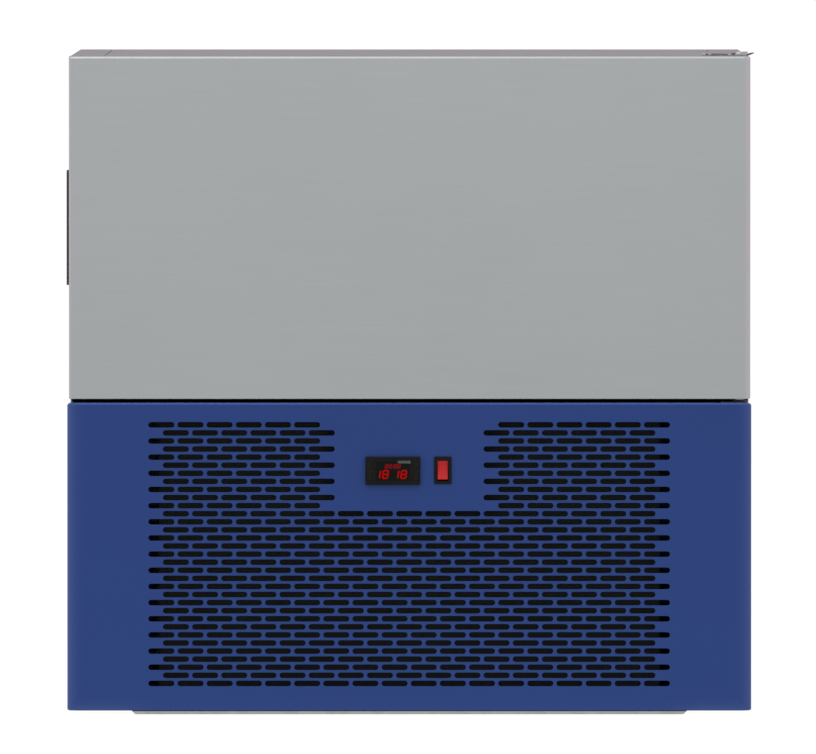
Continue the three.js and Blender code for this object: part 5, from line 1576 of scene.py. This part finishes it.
        # dished top
        loops.append(xz(rr(kx - 1.4, kx + 1.4, kz - 2.2, kz + 2.2, 0.5, 5), -405.12))
        k.loft(loops, True, True)
        k.make(f"controller_key_{i + 1}_cap", KEYCAP, f"key_{i + 1}", f"controller_key_{i + 1}", slot="black_plastic", sharp=40)


controller()


def power_switch():
    x0, x1, z0, z1 = SWITCH
    b = Builder()
    loops = []
    for inset, r, y in ((0.2, 1.0, -400.3), (0.0, 1.1, -400.6), (0.0, 1.1, -401.4), (0.3, 1.0, -401.85), (0.9, 0.8, -402.0)):
        loops.append(xz(rr(x0 + inset, x1 - inset, z0 + inset, z1 - inset, r, 5), y))
    for i, r, y in ((0.0, 0.5, -402.0), (0.25, 0.4, -401.7), (0.3, 0.4, -388.3)):
        loops.append(xz(rr(32.2 + i, 45.9 - i, 273.0 + i, 297.0 - i, r, 5), y))
    b.loft(loops, False, True)
    loops = []
    for i, r, y in ((-2.1, 1.0, -400.3), (0.0, 1.0, -400.3), (0.0, 1.0, -377.0), (0.8, 0.8, -376.1)):
        loops.append(xz(rr(31.3 + i, 46.9 - i, 270.6 + i * 0.35, 299.2 - i * 0.95, r, 5), y))
    b.loft(loops, False, True)
    # terminals
    for z in (276, 284.7, 293):
        b.bar(36.4, 41.8, -376.4, -376.05, z - 0.4, z + 0.4, 0.1)
    b.make("switch_bezel", BLACK, "cabinet", "power_switch_body", slot="black_plastic", sharp=32)

    # rocker: two shallow dished faces, upper one pressed in
    ax, ay, az = 39.05, -396.0, 284.0
    a = radians(-10.5)
    lo, hi = -9.9, 12.3
    prof = [(4, -6), (-1.5, lo), (-4.5, lo + 0.05)]
    for i in range(25):
        t = -1 + 2 * i / 24.0
        mid = (lo + hi) / 2
        z = mid + (hi - lo - 0.7) / 2 * t
        y = -3.2 - 2.0 * abs(t) ** 1.15
        prof.append((y, z))
    prof += [(-4.5, hi - 0.05), (-1.5, hi), (4, 6)]
    loops = []
    for inset, dx in ((0.3, -6.05), (0.0, -5.8), (0.0, 5.8), (0.3, 6.05)):
        ring = []
        for y, z in prof:
            yy = y + (inset if y < 0 else 0)
            zz = z * (1 - inset * 0.03)
            ring.append((ax + dx * (1.0 + zz * 0.0028), ay + yy * cos(a) - zz * sin(a), az + yy * sin(a) + zz * cos(a)))
        loops.append(ring)
    r = Builder()
    r.loft(loops, True, True)
    r.make("rocker_cap", ROCKER, "rocker", "power_rocker", slot="red_plastic", sharp=38)


power_switch()

# ------------------------------------------------------------------ stage and light
floor_mat = Mat("floor_white", (88, 88, 88), 0.9, 0.0, Specular_IOR_Level=0.0)
floor_mat.bsdf.inputs["Emission Color"].default_value = (1, 1, 1, 1)
floor_mat.bsdf.inputs["Emission Strength"].default_value = 0.96
floor_mat.tone(floor_mat.noise((0.8, 0.8, 0.8), 2.0), 0.004)
me = bpy.data.meshes.new("floor")
me.from_pydata([(-90, -90, 0), (90, -90, 0), (90, 90, 0), (-90, 90, 0)], [], [(0, 1, 2, 3)])
me.materials.append(floor_mat.m)
floor = bpy.data.objects.new("floor", me)
SCENE.collection.objects.link(floor)

world = bpy.data.worlds.new("studio")
world.use_nodes = True
SCENE.world = world
nt = world.node_tree
nt.nodes.clear()


def wnode(kind, **props):
    n = nt.nodes.new(kind)
    for k, v in props.items():
        setattr(n, k, v)
    return n


def wmap(value, a, b, lo, hi):
    n = wnode("ShaderNodeMapRange")
    for k, v in (("From Min", a), ("From Max", b), ("To Min", lo), ("To Max", hi)):
        n.inputs[k].default_value = v
    nt.links.new(value, n.inputs["Value"])
    return n.outputs["Result"]


def wmath(op, a, b):
    n = wnode("ShaderNodeMath", operation=op)
    for i, v in enumerate((a, b)):
        if isinstance(v, (int, float)):
            n.inputs[i].default_value = v
        else:
            nt.links.new(v, n.inputs[i])
    return n.outputs[0]


# soft room: white ahead of the front, a little brighter overhead, dimmer behind
coord = wnode("ShaderNodeTexCoord")
axes = wnode("ShaderNodeSeparateXYZ")
nt.links.new(coord.outputs["Generated"], axes.inputs[0])
aside = wmath("ABSOLUTE", axes.outputs["X"], 0.0)
behind = wmap(axes.outputs["Y"], -0.35, 0.6, 0.0, 0.70)
behind = wmath("MULTIPLY", behind, wmap(aside, 0.15, 0.75, 1.0, 0.0))
behind = wmath("MULTIPLY", behind, wmap(axes.outputs["Z"], 0.22, 0.7, 1.0, 0.0))
overhead = wmap(axes.outputs["Z"], 0.15, 0.9, 0.0, 0.35)
level = wmath("ADD", wmath("SUBTRACT", 0.90, behind), overhead)
level = wmath("ADD", level, wmap(aside, 0.4, 0.95, 0.0, 0.40))
warm = wnode("ShaderNodeMix", data_type="RGBA")
pink = wmath("MAXIMUM", wmap(axes.outputs["Y"], -0.3, 0.3, 0.0, 1.0), wmap(aside, 0.5, 0.95, 0.0, 1.0))
nt.links.new(pink, warm.inputs[0])
warm.inputs[6].default_value = (1.0, 1.0, 1.0, 1)
warm.inputs[7].default_value = (1.05, 0.945, 0.985, 1)
soft = wnode("ShaderNodeBackground")
nt.links.new(level, soft.inputs["Strength"])
nt.links.new(warm.outputs[2], soft.inputs["Color"])
seen = wnode("ShaderNodeBackground")
seen.inputs["Color"].default_value = (1, 1, 1, 1)
seen.inputs["Strength"].default_value = 1.02
ray = wnode("ShaderNodeLightPath")
either = wnode("ShaderNodeMixShader")
nt.links.new(ray.outputs["Is Camera Ray"], either.inputs["Fac"])
nt.links.new(soft.outputs["Background"], either.inputs[1])
nt.links.new(seen.outputs["Background"], either.inputs[2])
out = wnode("ShaderNodeOutputWorld")
nt.links.new(either.outputs["Shader"], out.inputs["Surface"])


def area(name, loc, target, size, power, colour=(1, 1, 1)):
    d = bpy.data.lights.new(name, "AREA")
    d.shape = "RECTANGLE"
    d.size, d.size_y = size
    d.energy = power
    d.color = colour
    o = bpy.data.objects.new(name, d)
    SCENE.collection.objects.link(o)
    o.location = loc
    o.rotation_euler = (Vector(target) - Vector(loc)).to_track_quat("-Z", "Y").to_euler()
    o.visible_camera = False
    return o


area("key_top", (-0.8, -2.4, 3.2), (0, 0, 0.4), (2.6, 1.6), 26)
area("fill_left", (-4.0, -0.6, 1.8), (0, 0, 0.4), (2.0, 2.4), 6)
